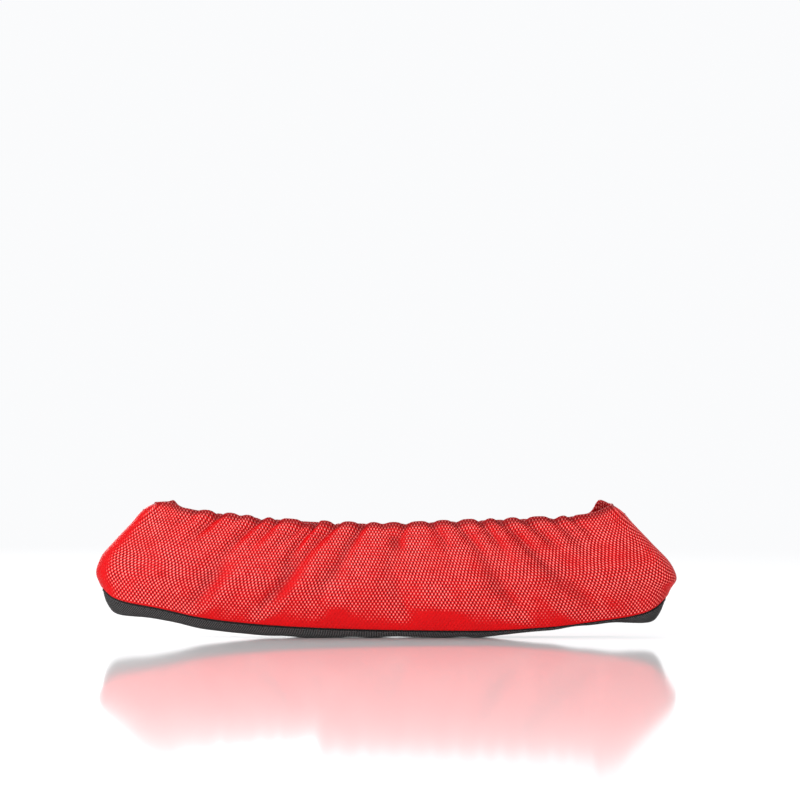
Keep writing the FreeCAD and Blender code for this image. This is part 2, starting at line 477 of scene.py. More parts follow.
def thick_sheet(name: str, face: "Wall", thickness: float) -> bpy.types.Object:
    """A closed sheet from an open grid: its outer face, its inner face and the rim between them.

    Args:
        name: the piece's name.
        face: the outer face.
        thickness: distance between the faces.

    Returns:
        The piece, shaded with the grid's own normals so that it runs on into the next piece.
    """
    outer, normals = face.points, face.normals
    columns, rows = outer.shape[:2]
    inner = outer - normals * thickness
    count = columns * rows
    faces = grid_faces(columns, rows)
    edge = np.concatenate(
        [
            np.arange(columns) * rows,
            (columns - 1) * rows + np.arange(1, rows),
            (np.arange(columns - 1)[::-1]) * rows + rows - 1,
            np.arange(1, rows - 1)[::-1],
        ]
    )
    after = np.roll(edge, -1)
    rim = np.stack([after, edge, edge + count, after + count], axis=-1)
    both_faces = np.concatenate([faces, faces[:, ::-1] + count, rim])
    piece = mesh_object(name, np.concatenate([outer, inner]), both_faces)
    paint_uv(piece, np.concatenate([face.cut.reshape(-1, 2)] * 2))
    # The shade attribute is painted shade, which the materials read to darken the colour.
    if face.shade is not None:
        shade = piece.data.attributes.new("shade", "FLOAT", "POINT")
        shade.data.foreach_set("value", np.concatenate([face.shade.ravel()] * 2).astype(np.float32))
    shading = np.concatenate([normals.reshape(-1, 3), -normals.reshape(-1, 3)])
    piece.data.normals_split_custom_set_from_vertices(shading.tolist())
    return piece


# ---------------------------------------------------------------- folds


@dataclass(frozen=True)
class Fold:
    """A valley in the gathered cloth, running down from the mouth."""

    mouth_x: float
    foot_x: float
    foot_share: float
    depth: float
    width: float

    def valley(self, x: np.ndarray, share: np.ndarray) -> np.ndarray:
        """Depth of this valley over the wall.

        Args:
            x: each point's X.
            share: how far up the wall it is, 0 at the seam and 1 at the mouth.

        Returns:
            How far the cloth is pressed in at each point.
        """
        down = np.clip((1.0 - share) / (1.0 - self.foot_share), 0.0, 1.0)
        line = self.mouth_x + (self.foot_x - self.mouth_x) * down**0.9
        width = self.width * (1.0 + 1.6 * down)
        fade = 1.0 - 0.45 * smooth(0.0, 0.5, down) - 0.55 * smooth(0.5, 1.0, down)
        return self.depth * fade * np.exp(-(((x - line) / width) ** 2))


LEFT_FOLDS = (
    Fold(-0.1030, -0.1360, 0.45, 0.0010, 0.0030),
    Fold(-0.0905, -0.1290, 0.25, 0.0019, 0.0030),
    Fold(-0.0790, -0.1080, 0.50, 0.0009, 0.0022),
    Fold(-0.0685, -0.1120, 0.12, 0.0020, 0.0032),
    Fold(-0.0590, -0.0850, 0.45, 0.0016, 0.0024),
    Fold(-0.0435, -0.0930, 0.10, 0.0018, 0.0030),
    Fold(-0.0385, -0.0620, 0.40, 0.0026, 0.0018),
    Fold(-0.0270, -0.0720, 0.08, 0.0019, 0.0028),
    Fold(-0.0130, -0.0390, 0.20, 0.0018, 0.0030),
    Fold(-0.0020, 0.0210, 0.35, 0.0009, 0.0026),
    Fold(0.0100, -0.0080, 0.30, 0.0013, 0.0028),
    Fold(0.0240, 0.0460, 0.30, 0.0013, 0.0026),
    Fold(0.0370, 0.0700, 0.20, 0.0015, 0.0028),
    Fold(0.0510, 0.0760, 0.30, 0.0018, 0.0026),
    Fold(0.0615, 0.1050, 0.10, 0.0019, 0.0028),
    Fold(0.0740, 0.1180, 0.25, 0.0018, 0.0028),
    Fold(0.0900, 0.1330, 0.18, 0.0017, 0.0030),
    Fold(0.0995, 0.1270, 0.50, 0.0016, 0.0020),
)

RIGHT_FOLDS = (
    Fold(-0.0970, -0.1310, 0.30, 0.0015, 0.0032),
    Fold(-0.0860, -0.1090, 0.45, 0.0011, 0.0023),
    Fold(-0.0655, -0.1050, 0.15, 0.0020, 0.0031),
    Fold(-0.0540, -0.0690, 0.45, 0.0014, 0.0022),
    Fold(-0.0310, -0.0660, 0.12, 0.0019, 0.0032),
    Fold(-0.0225, -0.0350, 0.50, 0.0022, 0.0019),
    Fold(-0.0060, -0.0180, 0.25, 0.0012, 0.0034),
    Fold(0.0140, 0.0300, 0.20, 0.0018, 0.0030),
    Fold(0.0205, 0.0520, 0.45, 0.0013, 0.0020),
    Fold(0.0420, 0.0800, 0.15, 0.0020, 0.0031),
    Fold(0.0480, 0.0620, 0.50, 0.0016, 0.0019),
    Fold(0.0680, 0.1060, 0.20, 0.0019, 0.0030),
    Fold(0.0800, 0.1010, 0.50, 0.0010, 0.0024),
    Fold(0.0940, 0.1250, 0.25, 0.0017, 0.0029),
)


@dataclass(frozen=True)
class Slack:
    """A soft bulge of spare cloth, leaning along the folds."""

    x: float
    share: float
    length: float
    rise: float
    out: float
    lean: float = 0.0

    def swell(self, x: np.ndarray, share: np.ndarray) -> np.ndarray:
        """How far the cloth stands out at each point.

        Args:
            x: each point's X.
            share: how far up the wall it is, 0 at the seam and 1 at the mouth.

        Returns:
            The bulge's height.
        """
        along = (x - self.x - self.lean * (share - self.share)) / self.length
        return self.out * np.exp(-(along**2) - ((share - self.share) / self.rise) ** 2)


LEFT_SLACK = (
    Slack(-0.1180, 0.52, 0.0075, 0.30, 0.0011, 0.045),
    Slack(-0.0960, 0.34, 0.0060, 0.26, -0.0010, 0.050),
    Slack(-0.0800, 0.40, 0.0080, 0.30, 0.0013, 0.055),
    Slack(-0.0600, 0.30, 0.0060, 0.24, -0.0010, 0.055),
    Slack(-0.0470, 0.42, 0.0075, 0.28, 0.0012, 0.050),
    Slack(-0.0260, 0.27, 0.0085, 0.13, 0.0017, 0.010),
    Slack(-0.0080, 0.45, 0.0060, 0.25, 0.0009, 0.020),
    Slack(0.0060, 0.30, 0.0055, 0.20, -0.0009, -0.015),
    Slack(0.0280, 0.26, 0.0170, 0.12, 0.0018, -0.020),
    Slack(0.0440, 0.52, 0.0080, 0.25, 0.0011, -0.045),
    Slack(0.0620, 0.34, 0.0060, 0.25, -0.0011, -0.055),
    Slack(0.0800, 0.42, 0.0080, 0.30, 0.0013, -0.055),
    Slack(0.1010, 0.34, 0.0060, 0.26, -0.0010, -0.050),
    Slack(0.1210, 0.30, 0.0090, 0.16, 0.0015, -0.030),
)

RIGHT_SLACK = (
    Slack(-0.1130, 0.46, 0.0080, 0.30, 0.0012, 0.045),
    Slack(-0.0890, 0.32, 0.0065, 0.25, -0.0010, 0.050),
    Slack(-0.0700, 0.44, 0.0080, 0.28, 0.0012, 0.045),
    Slack(-0.0450, 0.25, 0.0120, 0.13, 0.0016, 0.010),
    Slack(-0.0240, 0.48, 0.0065, 0.26, -0.0009, 0.020),
    Slack(0.0040, 0.40, 0.0090, 0.24, 0.0011, 0.0),
    Slack(0.0230, 0.24, 0.0080, 0.12, 0.0016, -0.010),
    Slack(0.0500, 0.42, 0.0070, 0.26, -0.0010, -0.045),
    Slack(0.0740, 0.34, 0.0090, 0.28, 0.0013, -0.050),
    Slack(0.1060, 0.38, 0.0075, 0.28, -0.0010, -0.045),
    Slack(0.1220, 0.34, 0.0080, 0.20, 0.0012, -0.030),
)


@dataclass(frozen=True)
class ClothCut:
    """How the outer cloth is cut, gathered and settled."""

    columns: int = 142
    rows: int = 26
    gather: float = 0.20
    gather_end: float = 0.112
    puff: float = 0.0009
    settle_scale: float = 10.0
    settle_frames: int = 24
    cap_in: float = 0.0027
    cap_out: float = 0.0040


CUT = ClothCut()


def settle(grid: np.ndarray, cut: np.ndarray, held: np.ndarray, plan: ClothCut) -> np.ndarray:
    """Settles a ring of cloth towards the length it was cut to, by cloth simulation.

    Args:
        grid: where the cloth starts, columns first.
        cut: the same points at the cloth's own size, which sets the length of every thread.
        held: how firmly each point is held in place, from 0 to 1.
        plan: the run's settings.

    Returns:
        Where the points come to rest.
    """
    columns, rows = grid.shape[:2]
    cloth = mesh_object("settling", grid * plan.settle_scale, grid_faces(columns, rows, ring=True))
    cloth.shape_key_add(name="start")
    lengths = cloth.shape_key_add(name="cut")
    lengths.data.foreach_set("co", (cut * plan.settle_scale).astype(np.float32).ravel())
    pins = cloth.vertex_groups.new(name="held")
    for level in np.unique(held[held > 0.0]):
        pins.add(np.flatnonzero(held.ravel() == level).tolist(), float(level), "REPLACE")
    modifier = cloth.modifiers.new("Cloth", "CLOTH")
    options = modifier.settings
    options.quality = 7
    options.mass = 0.25
    options.air_damping = 4.0
    options.tension_stiffness = 25.0
    options.compression_stiffness = 12.0
    options.shear_stiffness = 6.0
    options.bending_model = "ANGULAR"
    options.bending_stiffness = 0.35
    options.tension_damping = 8.0
    options.compression_damping = 8.0
    options.shear_damping = 8.0
    options.vertex_group_mass = pins.name
    options.pin_stiffness = 1.0
    options.rest_shape_key = lengths
    options.use_pressure = True
    options.uniform_pressure_force = 0.6
    options.effector_weights.gravity = 0.0
    modifier.collision_settings.use_collision = False
    modifier.point_cache.frame_start = 1
    modifier.point_cache.frame_end = plan.settle_frames
    scene = bpy.context.scene
    for frame in range(1, plan.settle_frames + 1):
        scene.frame_set(frame)
    shown = cloth.evaluated_get(bpy.context.evaluated_depsgraph_get())
    points = np.zeros(columns * rows * 3, dtype=np.float32)
    shown.to_mesh().vertices.foreach_get("co", points)
    shown.to_mesh_clear()
    mesh = cloth.data
    bpy.data.objects.remove(cloth)
    bpy.data.meshes.remove(mesh)
    scene.frame_set(1)
    return points.reshape(columns, rows, 3).astype(float) / plan.settle_scale


# ---------------------------------------------------------------- finishes


def node_tree(name: str) -> tuple[bpy.types.Material, bpy.types.NodeTree, bpy.types.Node]:
    """A new material with its shader.

    Args:
        name: the material's name.

    Returns:
        The material, its node tree and its Principled shader.
    """
    material = bpy.data.materials.new(name)
    material.use_nodes = True
    tree = material.node_tree
    return material, tree, tree.nodes["Principled BSDF"]


class Wiring:
    """Short ways to add and join the nodes of one tree."""

    def __init__(self, tree: bpy.types.NodeTree) -> None:
        """Holds the tree.

        Args:
            tree: the node tree to add to.
        """
        self.tree = tree

    def node(self, kind: str, **settings: object) -> bpy.types.Node:
        """Adds a node with its properties set.

        Args:
            kind: the node's type.
            settings: its properties.

        Returns:
            The node.
        """
        made = self.tree.nodes.new(kind)
        for key, value in settings.items():
            setattr(made, key, value)
        return made

    def link(self, source: bpy.types.NodeSocket, target: bpy.types.NodeSocket) -> None:
        """Joins two sockets."""
        self.tree.links.new(source, target)

    def put(self, item: object, target: bpy.types.NodeSocket) -> None:
        """Gives a socket a link or a value.

        Args:
            item: a socket to link from, or a value.
            target: the socket that gets it.
        """
        if isinstance(item, bpy.types.NodeSocket):
            self.link(item, target)
        else:
            target.default_value = item

    def math(self, operation: str, *items: object) -> bpy.types.NodeSocket:
        """Adds a Math node.

        Args:
            operation: what it works out.
            items: its inputs, each a socket or a value.

        Returns:
            Its result.
        """
        made = self.node("ShaderNodeMath", operation=operation)
        for item, socket in zip(items, made.inputs):
            self.put(item, socket)
        return made.outputs[0]

    def ramp(self, factor: bpy.types.NodeSocket, *stops: tuple[float, Color]) -> bpy.types.NodeSocket:
        """Adds a colour ramp.

        Args:
            factor: what the ramp reads.
            stops: its places and their colours, in order.

        Returns:
            Its colour.
        """
        made = self.node("ShaderNodeValToRGB")
        band = made.color_ramp.elements
        while len(band) < len(stops):
            band.new(0.5)
        for element, (place, color) in zip(band, stops):
            element.position, element.color = place, color
        self.link(factor, made.inputs["Fac"])
        return made.outputs["Color"]

    def noise(self, where: bpy.types.NodeSocket, scale: float, detail: float = 2.0) -> bpy.types.NodeSocket:
        """Adds a noise texture.

        Args:
            where: the place to read it at.
            scale: how many blotches there are to a metre.
            detail: how much finer noise is on top.

        Returns:
            Its value, from 0 to 1.
        """
        made = self.node("ShaderNodeTexNoise")
        self.link(where, made.inputs["Vector"])
        made.inputs["Scale"].default_value = scale
        made.inputs["Detail"].default_value = detail
        return made.outputs["Fac"]

    def bump(
        self,
        height: bpy.types.NodeSocket,
        distance: float,
        strength: float = 1.0,
        under: bpy.types.NodeSocket | None = None,
    ) -> bpy.types.NodeSocket:
        """Adds a bump node.

        Args:
            height: the relief, from 0 to 1.
            distance: how high 1 stands, in metres.
            strength: how much of it shows.
            under: the normal that it is laid on.

        Returns:
            The bumped normal.
        """
        made = self.node("ShaderNodeBump")
        made.inputs["Distance"].default_value = distance
        made.inputs["Strength"].default_value = strength
        self.link(height, made.inputs["Height"])
        if under is not None:
            self.link(under, made.inputs["Normal"])
        return made.outputs["Normal"]

    def fade(self, value: bpy.types.NodeSocket, span: Fade) -> bpy.types.NodeSocket:
        """Adds a smooth change from one level to another.

        Args:
            value: what the change follows.
            span: where it starts and ends, and the levels there.

        Returns:
            The level.
        """
        made = self.node("ShaderNodeMapRange", interpolation_type="SMOOTHSTEP")
        self.link(value, made.inputs["Value"])
        for label, number in zip(("From Min", "From Max", "To Min", "To Max"), span):
            made.inputs[label].default_value = number
        return made.outputs["Result"]


def waves(
    wiring: Wiring, uv: bpy.types.NodeSocket, pitch: tuple[float, float]
) -> tuple[bpy.types.NodeSocket, bpy.types.NodeSocket]:
    """Cosines along and across the cloth, each running from -1 to 1.

    Args:
        wiring: the material's tree.
        uv: the cloth's map, in metres.
        pitch: length of one wave in each direction.

    Returns:
        The two waves.
    """
    parts = wiring.node("ShaderNodeSeparateXYZ")
    wiring.link(uv, parts.inputs[0])
    made = [
        wiring.math("COSINE", wiring.math("MULTIPLY", parts.outputs[axis], 2 * math.pi / length))
        for axis, length in enumerate(pitch)
    ]
    return made[0], made[1]


@dataclass(frozen=True)
class NylonFinish:
    """Woven nylon whose raised threads make a lattice of small dots: a painted highlight on the dots and
    painted shade in the gaps, on the weave's own pattern.
    """

    name: str = "red_nylon"
    pitch: tuple[float, float] = (2.0 * MM, 3.0 * MM)
    # The lattice is the weave's own pattern; the gap colour is painted shade between the threads and the dot
    # colour a painted highlight on them.
    gap_shade: Color = (0.085, 0.0, 0.0006, 1.0)
    ground: Color = (0.52, 0.0012, 0.0030, 1.0)
    dot_highlight: Color = (0.92, 0.22, 0.20, 1.0)
    roughness: float = 0.5
    relief: float = 0.25 * MM
    # Painted shade: the colour is mixed towards the dark red below in the cloth's valleys and at the hem, by
    # the shade attribute.
    crease_shade_depth: float = 0.72
    crease_shade: Color = (0.085, 0.0, 0.0010, 1.0)
    # Painted light: the dots and gaps fade to the plain ground colour where the cloth faces down and where it
    # faces the toe, as if lit from the front.
    under: Fade = (-0.50, -0.25, 0.05, 1.0)
    nose_highlight_fade: Fade = (0.10, 0.78, 1.0, 0.0)
    wobble: tuple[float, float] = (260.0, 0.26)
    patches: tuple[float, float] = (70.0, 1.1)
    clouds: tuple[float, float] = (38.0, 0.16)
    threads_per_dot: int = 8
    specular: float = 0.12
    sheen: float = 0.03

    def around(
        self, wiring: Wiring, noise: bpy.types.NodeSocket, depth: float, middle: float
    ) -> bpy.types.NodeSocket:
        """Noise turned into a value that varies about a middle one.

        Args:
            wiring: the material's tree.
            noise: the noise, from 0 to 1.
            depth: how far apart its lowest and highest values are.
            middle: the value half way.

        Returns:
            The varying value.
        """
        return wiring.math("MULTIPLY_ADD", noise, depth, middle - depth / 2)

    def build(self) -> bpy.types.Material:
        """Makes the material.

        Returns:
            The material.
        """
        material, tree, shader = node_tree(self.name)
        wiring = Wiring(tree)
        uv = wiring.node("ShaderNodeUVMap", uv_map="cloth").outputs["UV"]
        along, across = waves(wiring, uv, self.pitch)
        lattice = wiring.math("MULTIPLY", along, across)
        height = wiring.math("MULTIPLY_ADD", lattice, 0.5, 0.5)
        # Painted light: the lattice's contrast fades with the normal, where the cloth faces down or towards
        # the toe.
        level = wiring.node("ShaderNodeSeparateXYZ")
        wiring.link(wiring.node("ShaderNodeNewGeometry").outputs["Normal"], level.inputs[0])
        towards_toe = wiring.math("MULTIPLY", level.outputs["X"], -1.0)
        wobble = self.around(wiring, wiring.noise(uv, self.wobble[0]), self.wobble[1], 0.0)
        uneven = wiring.math("MULTIPLY_ADD", lattice, 0.5, wobble)
        patchy = self.around(wiring, wiring.noise(uv, self.patches[0], 1.0), self.patches[1], 1.1)
        strength = wiring.math("MULTIPLY", wiring.fade(level.outputs["Z"], self.under), patchy)
        strength = wiring.math("MULTIPLY", strength, wiring.fade(towards_toe, self.nose_highlight_fade))
        varied = wiring.math("MULTIPLY_ADD", uneven, strength, 0.5)
        stops = ((0.10, self.gap_shade), (0.42, self.ground), (0.66, self.ground), (0.95, self.dot_highlight))
        color = wiring.ramp(varied, *stops)
        place = wiring.node("ShaderNodeTexCoord").outputs["Object"]
        cloudy = self.around(wiring, wiring.noise(place, self.clouds[0]), self.clouds[1], 1.0)
        shade = wiring.node("ShaderNodeHueSaturation")
        wiring.link(color, shade.inputs["Color"])
        wiring.link(cloudy, shade.inputs["Value"])
        # Painted shade: the shade attribute mixes the colour towards dark red in the valleys and at the hem.
        depth = wiring.node("ShaderNodeAttribute", attribute_name="shade").outputs["Fac"]
        deep = wiring.node("ShaderNodeMix", data_type="RGBA")
        factor, plain, dark = (deep.inputs[index] for index in (0, 6, 7))
        wiring.link(wiring.math("MULTIPLY", depth, self.crease_shade_depth), factor)
        wiring.link(shade.outputs["Color"], plain)
        dark.default_value = self.crease_shade
        wiring.link(deep.outputs[2], shader.inputs["Base Color"])
        along_pitch, across_pitch = (pitch / self.threads_per_dot for pitch in self.pitch)
        fine_along, fine_across = waves(wiring, uv, (along_pitch, across_pitch))
        threads = wiring.math("MAXIMUM", fine_along, fine_across)
        fine = wiring.bump(threads, self.relief * 0.08, 0.5)
        wiring.link(wiring.bump(height, self.relief, 1.0, fine), shader.inputs["Normal"])
        shader.inputs["Roughness"].default_value = self.roughness
        shader.inputs["Specular IOR Level"].default_value = self.specular
        shader.inputs["Sheen Weight"].default_value = self.sheen
        shader.inputs["Sheen Roughness"].default_value = 0.4
        shader.inputs["Sheen Tint"].default_value = (1.0, 0.3, 0.25, 1.0)
        return material


@dataclass(frozen=True)
class WebbingFinish:
    """Ribbed synthetic webbing, with a painted highlight on the rib tops and painted shade in the valleys."""

    name: str = "ribbed_webbing"
    # The valley colour is painted shade between the ribs and the rib colour a painted highlight on their
    # tops.
    valley: Color = (0.0004, 0.0004, 0.0005, 1.0)
    rib: Color = (0.112, 0.109, 0.110, 1.0)
    pitch: float = 1.0 * MM
    roughness: float = 0.62

    def build(self) -> bpy.types.Material:
        """Makes the material.

        Returns:
            The material.
        """
        material, tree, shader = node_tree(self.name)
        wiring = Wiring(tree)
        uv = wiring.node("ShaderNodeUVMap", uv_map="cloth").outputs["UV"]
        along, across = waves(wiring, uv, (self.pitch, self.pitch * 0.9))
        height = wiring.math("MULTIPLY_ADD", along, 0.5, 0.5)
        speckle = wiring.noise(uv, 900.0, 3.0)
        varied = wiring.math("ADD", height, wiring.math("MULTIPLY_ADD", speckle, 0.24, -0.12))
        # Painted highlight and shade: the ramp lightens the rib tops and darkens the valleys.
        color = wiring.ramp(varied, (0.58, self.valley), (1.05, self.rib))
        # Painted shadow: the shade attribute darkens the tape under the red cloth's overhang.
        under = wiring.node("ShaderNodeAttribute", attribute_name="shade").outputs["Fac"]
        shade = wiring.node("ShaderNodeHueSaturation")
        wiring.link(color, shade.inputs["Color"])
        wiring.link(wiring.math("MULTIPLY_ADD", under, -0.9, 1.0), shade.inputs["Value"])
        wiring.link(shade.outputs["Color"], shader.inputs["Base Color"])
        threads = wiring.math("MULTIPLY_ADD", across, 0.5, wiring.math("MULTIPLY", speckle, 0.8))
        wiring.link(wiring.bump(threads, 0.05 * MM, 0.7), shader.inputs["Normal"])
        shader.inputs["Roughness"].default_value = self.roughness
        shader.inputs["Specular IOR Level"].default_value = 0.14
        return material


@dataclass(frozen=True)
class PileFinish:
    """Looped absorbent pile."""

    name: str = "terry_pile"
    dark: Color = (0.030, 0.030, 0.032, 1.0)
    light: Color = (0.105, 0.104, 0.108, 1.0)
    loops: float = 1100.0

    def build(self) -> bpy.types.Material:
        """Makes the material.

        Returns:
            The material.
        """
        material, tree, shader = node_tree(self.name)
        wiring = Wiring(tree)
        place = wiring.node("ShaderNodeUVMap", uv_map="cloth").outputs["UV"]
        cells = wiring.node("ShaderNodeTexVoronoi", feature="F1")
        wiring.link(place, cells.inputs["Vector"])
        cells.inputs["Scale"].default_value = self.loops
        rough = wiring.noise(place, self.loops * 0.4, 4.0)
        height = wiring.math("SUBTRACT", rough, wiring.math("MULTIPLY", cells.outputs["Distance"], 0.7))
        wiring.link(wiring.ramp(height, (0.0, self.dark), (0.6, self.light)), shader.inputs["Base Color"])
        wiring.link(wiring.bump(height, 0.5 * MM, 0.9), shader.inputs["Normal"])
        shader.inputs["Roughness"].default_value = 0.95
        shader.inputs["Sheen Weight"].default_value = 0.4
        return material


@dataclass(frozen=True)
class TapeFinish:
    """Plain woven tape or elastic, told apart by colour and by the length of one rib."""

    name: str
    dark: Color
    light: Color
    pitch: float
    roughness: float = 0.7
    relief: float = 0.08 * MM

    def build(self) -> bpy.types.Material:
        """Makes the material.

        Returns:
            The material.
        """
        material, tree, shader = node_tree(self.name)
        wiring = Wiring(tree)
        uv = wiring.node("ShaderNodeUVMap", uv_map="cloth").outputs["UV"]
        along, across = waves(wiring, uv, (self.pitch, self.pitch * 1.3))
        speckle = wiring.noise(uv, 0.6 / self.pitch, 3.0)
        height = wiring.math("MULTIPLY_ADD", wiring.math("MULTIPLY", along, across), 0.3, speckle)
        wiring.link(wiring.ramp(height, (0.2, self.dark), (0.85, self.light)), shader.inputs["Base Color"])
        wiring.link(wiring.bump(height, self.relief, 0.8), shader.inputs["Normal"])
        shader.inputs["Roughness"].default_value = self.roughness
        return material


@dataclass(frozen=True)
class ThreadFinish:
    """Twisted sewing thread, on stitches whose map runs round them and along them."""

    name: str
    dark: Color
    light: Color
    turns: float = 7.0

    def build(self) -> bpy.types.Material:
        """Makes the material.

        Returns:
            The material.
        """
        material, tree, shader = node_tree(self.name)
        wiring = Wiring(tree)
        parts = wiring.node("ShaderNodeSeparateXYZ")
        wiring.link(wiring.node("ShaderNodeUVMap", uv_map="cloth").outputs["UV"], parts.inputs[0])
        twist = wiring.math("MULTIPLY_ADD", parts.outputs["Y"], self.turns, parts.outputs["X"])
        strand = wiring.math("COSINE", wiring.math("MULTIPLY", twist, 2 * math.pi))
        height = wiring.math("MULTIPLY_ADD", strand, 0.5, 0.5)
        wiring.link(wiring.ramp(height, (0.0, self.dark), (0.9, self.light)), shader.inputs["Base Color"])
        wiring.link(wiring.bump(height, 0.05 * MM, 0.8), shader.inputs["Normal"])
        shader.inputs["Roughness"].default_value = 0.5
        return material


STRIP_FINISH = TapeFinish("guard_tape", (0.07, 0.07, 0.074, 1.0), (0.17, 0.17, 0.18, 1.0), 1.2 * MM)
BINDING_FINISH = TapeFinish("binding_tape", (0.012, 0.012, 0.013, 1.0), (0.05, 0.05, 0.052, 1.0), 0.7 * MM)
ELASTIC_FINISH = TapeFinish("braided_elastic", (0.45, 0.44, 0.41, 1.0), (0.78, 0.77, 0.73, 1.0), 1.1 * MM)
RED_THREAD = ThreadFinish("red_thread", (0.30, 0.004, 0.006, 1.0), (0.66, 0.012, 0.015, 1.0))
BLACK_THREAD = ThreadFinish("black_thread", (0.006, 0.006, 0.007, 1.0), (0.035, 0.035, 0.037, 1.0))


# ---------------------------------------------------------------- geometry node trees


class MeshTree:
    """A Geometry Nodes tree that changes a mesh, with named inputs for its sizes."""

    def __init__(self, name: str, inputs: dict[str, str]) -> None:
        """Starts the tree.

        Args:
            name: the tree's name.
            inputs: each input's name and socket type, after the geometry.
        """
        self.tree = bpy.data.node_groups.new(name, "GeometryNodeTree")
        face = self.tree.interface
        face.new_socket("Geometry", in_out="INPUT", socket_type="NodeSocketGeometry")
        self.ids = {
            label: face.new_socket(label, in_out="INPUT", socket_type=kind).identifier
            for label, kind in inputs.items()
        }
        face.new_socket("Geometry", in_out="OUTPUT", socket_type="NodeSocketGeometry")
        self.wiring = Wiring(self.tree)
        self.start = self.wiring.node("NodeGroupInput")
        self.end = self.wiring.node("NodeGroupOutput")

    def close(self, geometry: bpy.types.NodeSocket) -> None:
        """Ends the tree: instances made real, and the material set.

        Args:
            geometry: what the tree has made.
        """
        real = self.wiring.node("GeometryNodeRealizeInstances")
        finish = self.wiring.node("GeometryNodeSetMaterial")
        self.wiring.link(geometry, real.inputs["Geometry"])
        self.wiring.link(real.outputs["Geometry"], finish.inputs["Geometry"])
        self.wiring.link(self.start.outputs["Finish"], finish.inputs["Material"])
        self.wiring.link(finish.outputs["Geometry"], self.end.inputs["Geometry"])

    def apply(self, piece: bpy.types.Object, **values: object) -> bpy.types.Object:
        """Runs the tree on a piece and keeps the result as its mesh.

        Args:
            piece: the mesh object to change.
            values: each input's value, by its name with underscores for spaces.

        Returns:
            The piece.
        """
        modifier = piece.modifiers.new(self.tree.name, "NODES")
        modifier.node_group = self.tree
        for label, value in values.items():
            modifier[self.ids[label.replace("_", " ")]] = value
        shown = piece.evaluated_get(bpy.context.evaluated_depsgraph_get())
        mesh = bpy.data.meshes.new_from_object(shown)
        old = piece.data
        piece.modifiers.remove(modifier)
        piece.data = mesh
        bpy.data.meshes.remove(old)
        mesh.name = piece.name
        return piece


def rib_tree() -> MeshTree:
    """Raises ribs across a tape: one at every pitch of the "along" attribute.

    Returns:
        The tree, with the ribs' pitch and depth and the tape's finish as its inputs.
    """
    made = MeshTree(
        "ribs", {"Pitch": "NodeSocketFloat", "Depth": "NodeSocketFloat", "Finish": "NodeSocketMaterial"}
    )
    wiring, start = made.wiring, made.start
    along = wiring.node("GeometryNodeInputNamedAttribute", data_type="FLOAT")
    along.inputs["Name"].default_value = "along"
    turns = wiring.math("DIVIDE", along.outputs["Attribute"], start.outputs["Pitch"])
    wave = wiring.math("COSINE", wiring.math("MULTIPLY", turns, 2 * math.pi))
    rise = wiring.math("MULTIPLY", wiring.math("MULTIPLY_ADD", wave, 0.5, 0.5), start.outputs["Depth"])
    push = wiring.node("ShaderNodeVectorMath", operation="SCALE")
    wiring.link(wiring.node("GeometryNodeInputNormal").outputs[0], push.inputs[0])
    wiring.link(rise, push.inputs["Scale"])
    move = wiring.node("GeometryNodeSetPosition")
    wiring.link(start.outputs["Geometry"], move.inputs["Geometry"])
    wiring.link(push.outputs[0], move.inputs["Offset"])
    made.close(move.outputs["Geometry"])
    return made


def stitch_tree() -> MeshTree:
    """Lays short stitches end to end along every line of a mesh.

    Returns:
        The tree, with the stitches' sizes and finish as its inputs.
    """
    made = MeshTree(
        "stitches",
        {
            "Pitch": "NodeSocketFloat",
            "Stitch Length": "NodeSocketFloat",
            "Thread": "NodeSocketFloat",
            "Finish": "NodeSocketMaterial",
        },
    )
    wiring, start = made.wiring, made.start
    line = wiring.node("GeometryNodeMeshToCurve")
    wiring.link(start.outputs["Geometry"], line.inputs["Mesh"])
    even = wiring.node("GeometryNodeResampleCurve", mode="LENGTH")
    wiring.link(line.outputs["Curve"], even.inputs["Curve"])
    wiring.link(start.outputs["Pitch"], even.inputs["Length"])
    ball = wiring.node("GeometryNodeMeshUVSphere")
    ball.inputs["Segments"].default_value = 8
    ball.inputs["Rings"].default_value = 6
    ball.inputs["Radius"].default_value = 0.5
    mapped = wiring.node("GeometryNodeStoreNamedAttribute", data_type="FLOAT2", domain="CORNER")
    wiring.link(ball.outputs["Mesh"], mapped.inputs["Geometry"])
    mapped.inputs["Name"].default_value = "cloth"
    wiring.link(ball.outputs["UV Map"], next(s for s in mapped.inputs if s.name == "Value" and s.enabled))
    size = wiring.node("ShaderNodeCombineXYZ")
    wiring.link(start.outputs["Thread"], size.inputs["X"])
    wiring.link(start.outputs["Thread"], size.inputs["Y"])
    wiring.link(start.outputs["Stitch Length"], size.inputs["Z"])
    stitch = wiring.node("GeometryNodeTransform")
    wiring.link(mapped.outputs["Geometry"], stitch.inputs["Geometry"])
    wiring.link(size.outputs[0], stitch.inputs["Scale"])
    turn = wiring.node("FunctionNodeAlignRotationToVector", axis="Z")
    wiring.link(wiring.node("GeometryNodeInputTangent").outputs[0], turn.inputs["Vector"])
    place = wiring.node("GeometryNodeInstanceOnPoints")
    wiring.link(even.outputs["Curve"], place.inputs["Points"])
    wiring.link(stitch.outputs["Geometry"], place.inputs["Instance"])
    wiring.link(turn.outputs["Rotation"], place.inputs["Rotation"])
    made.close(place.outputs["Instances"])
    return made


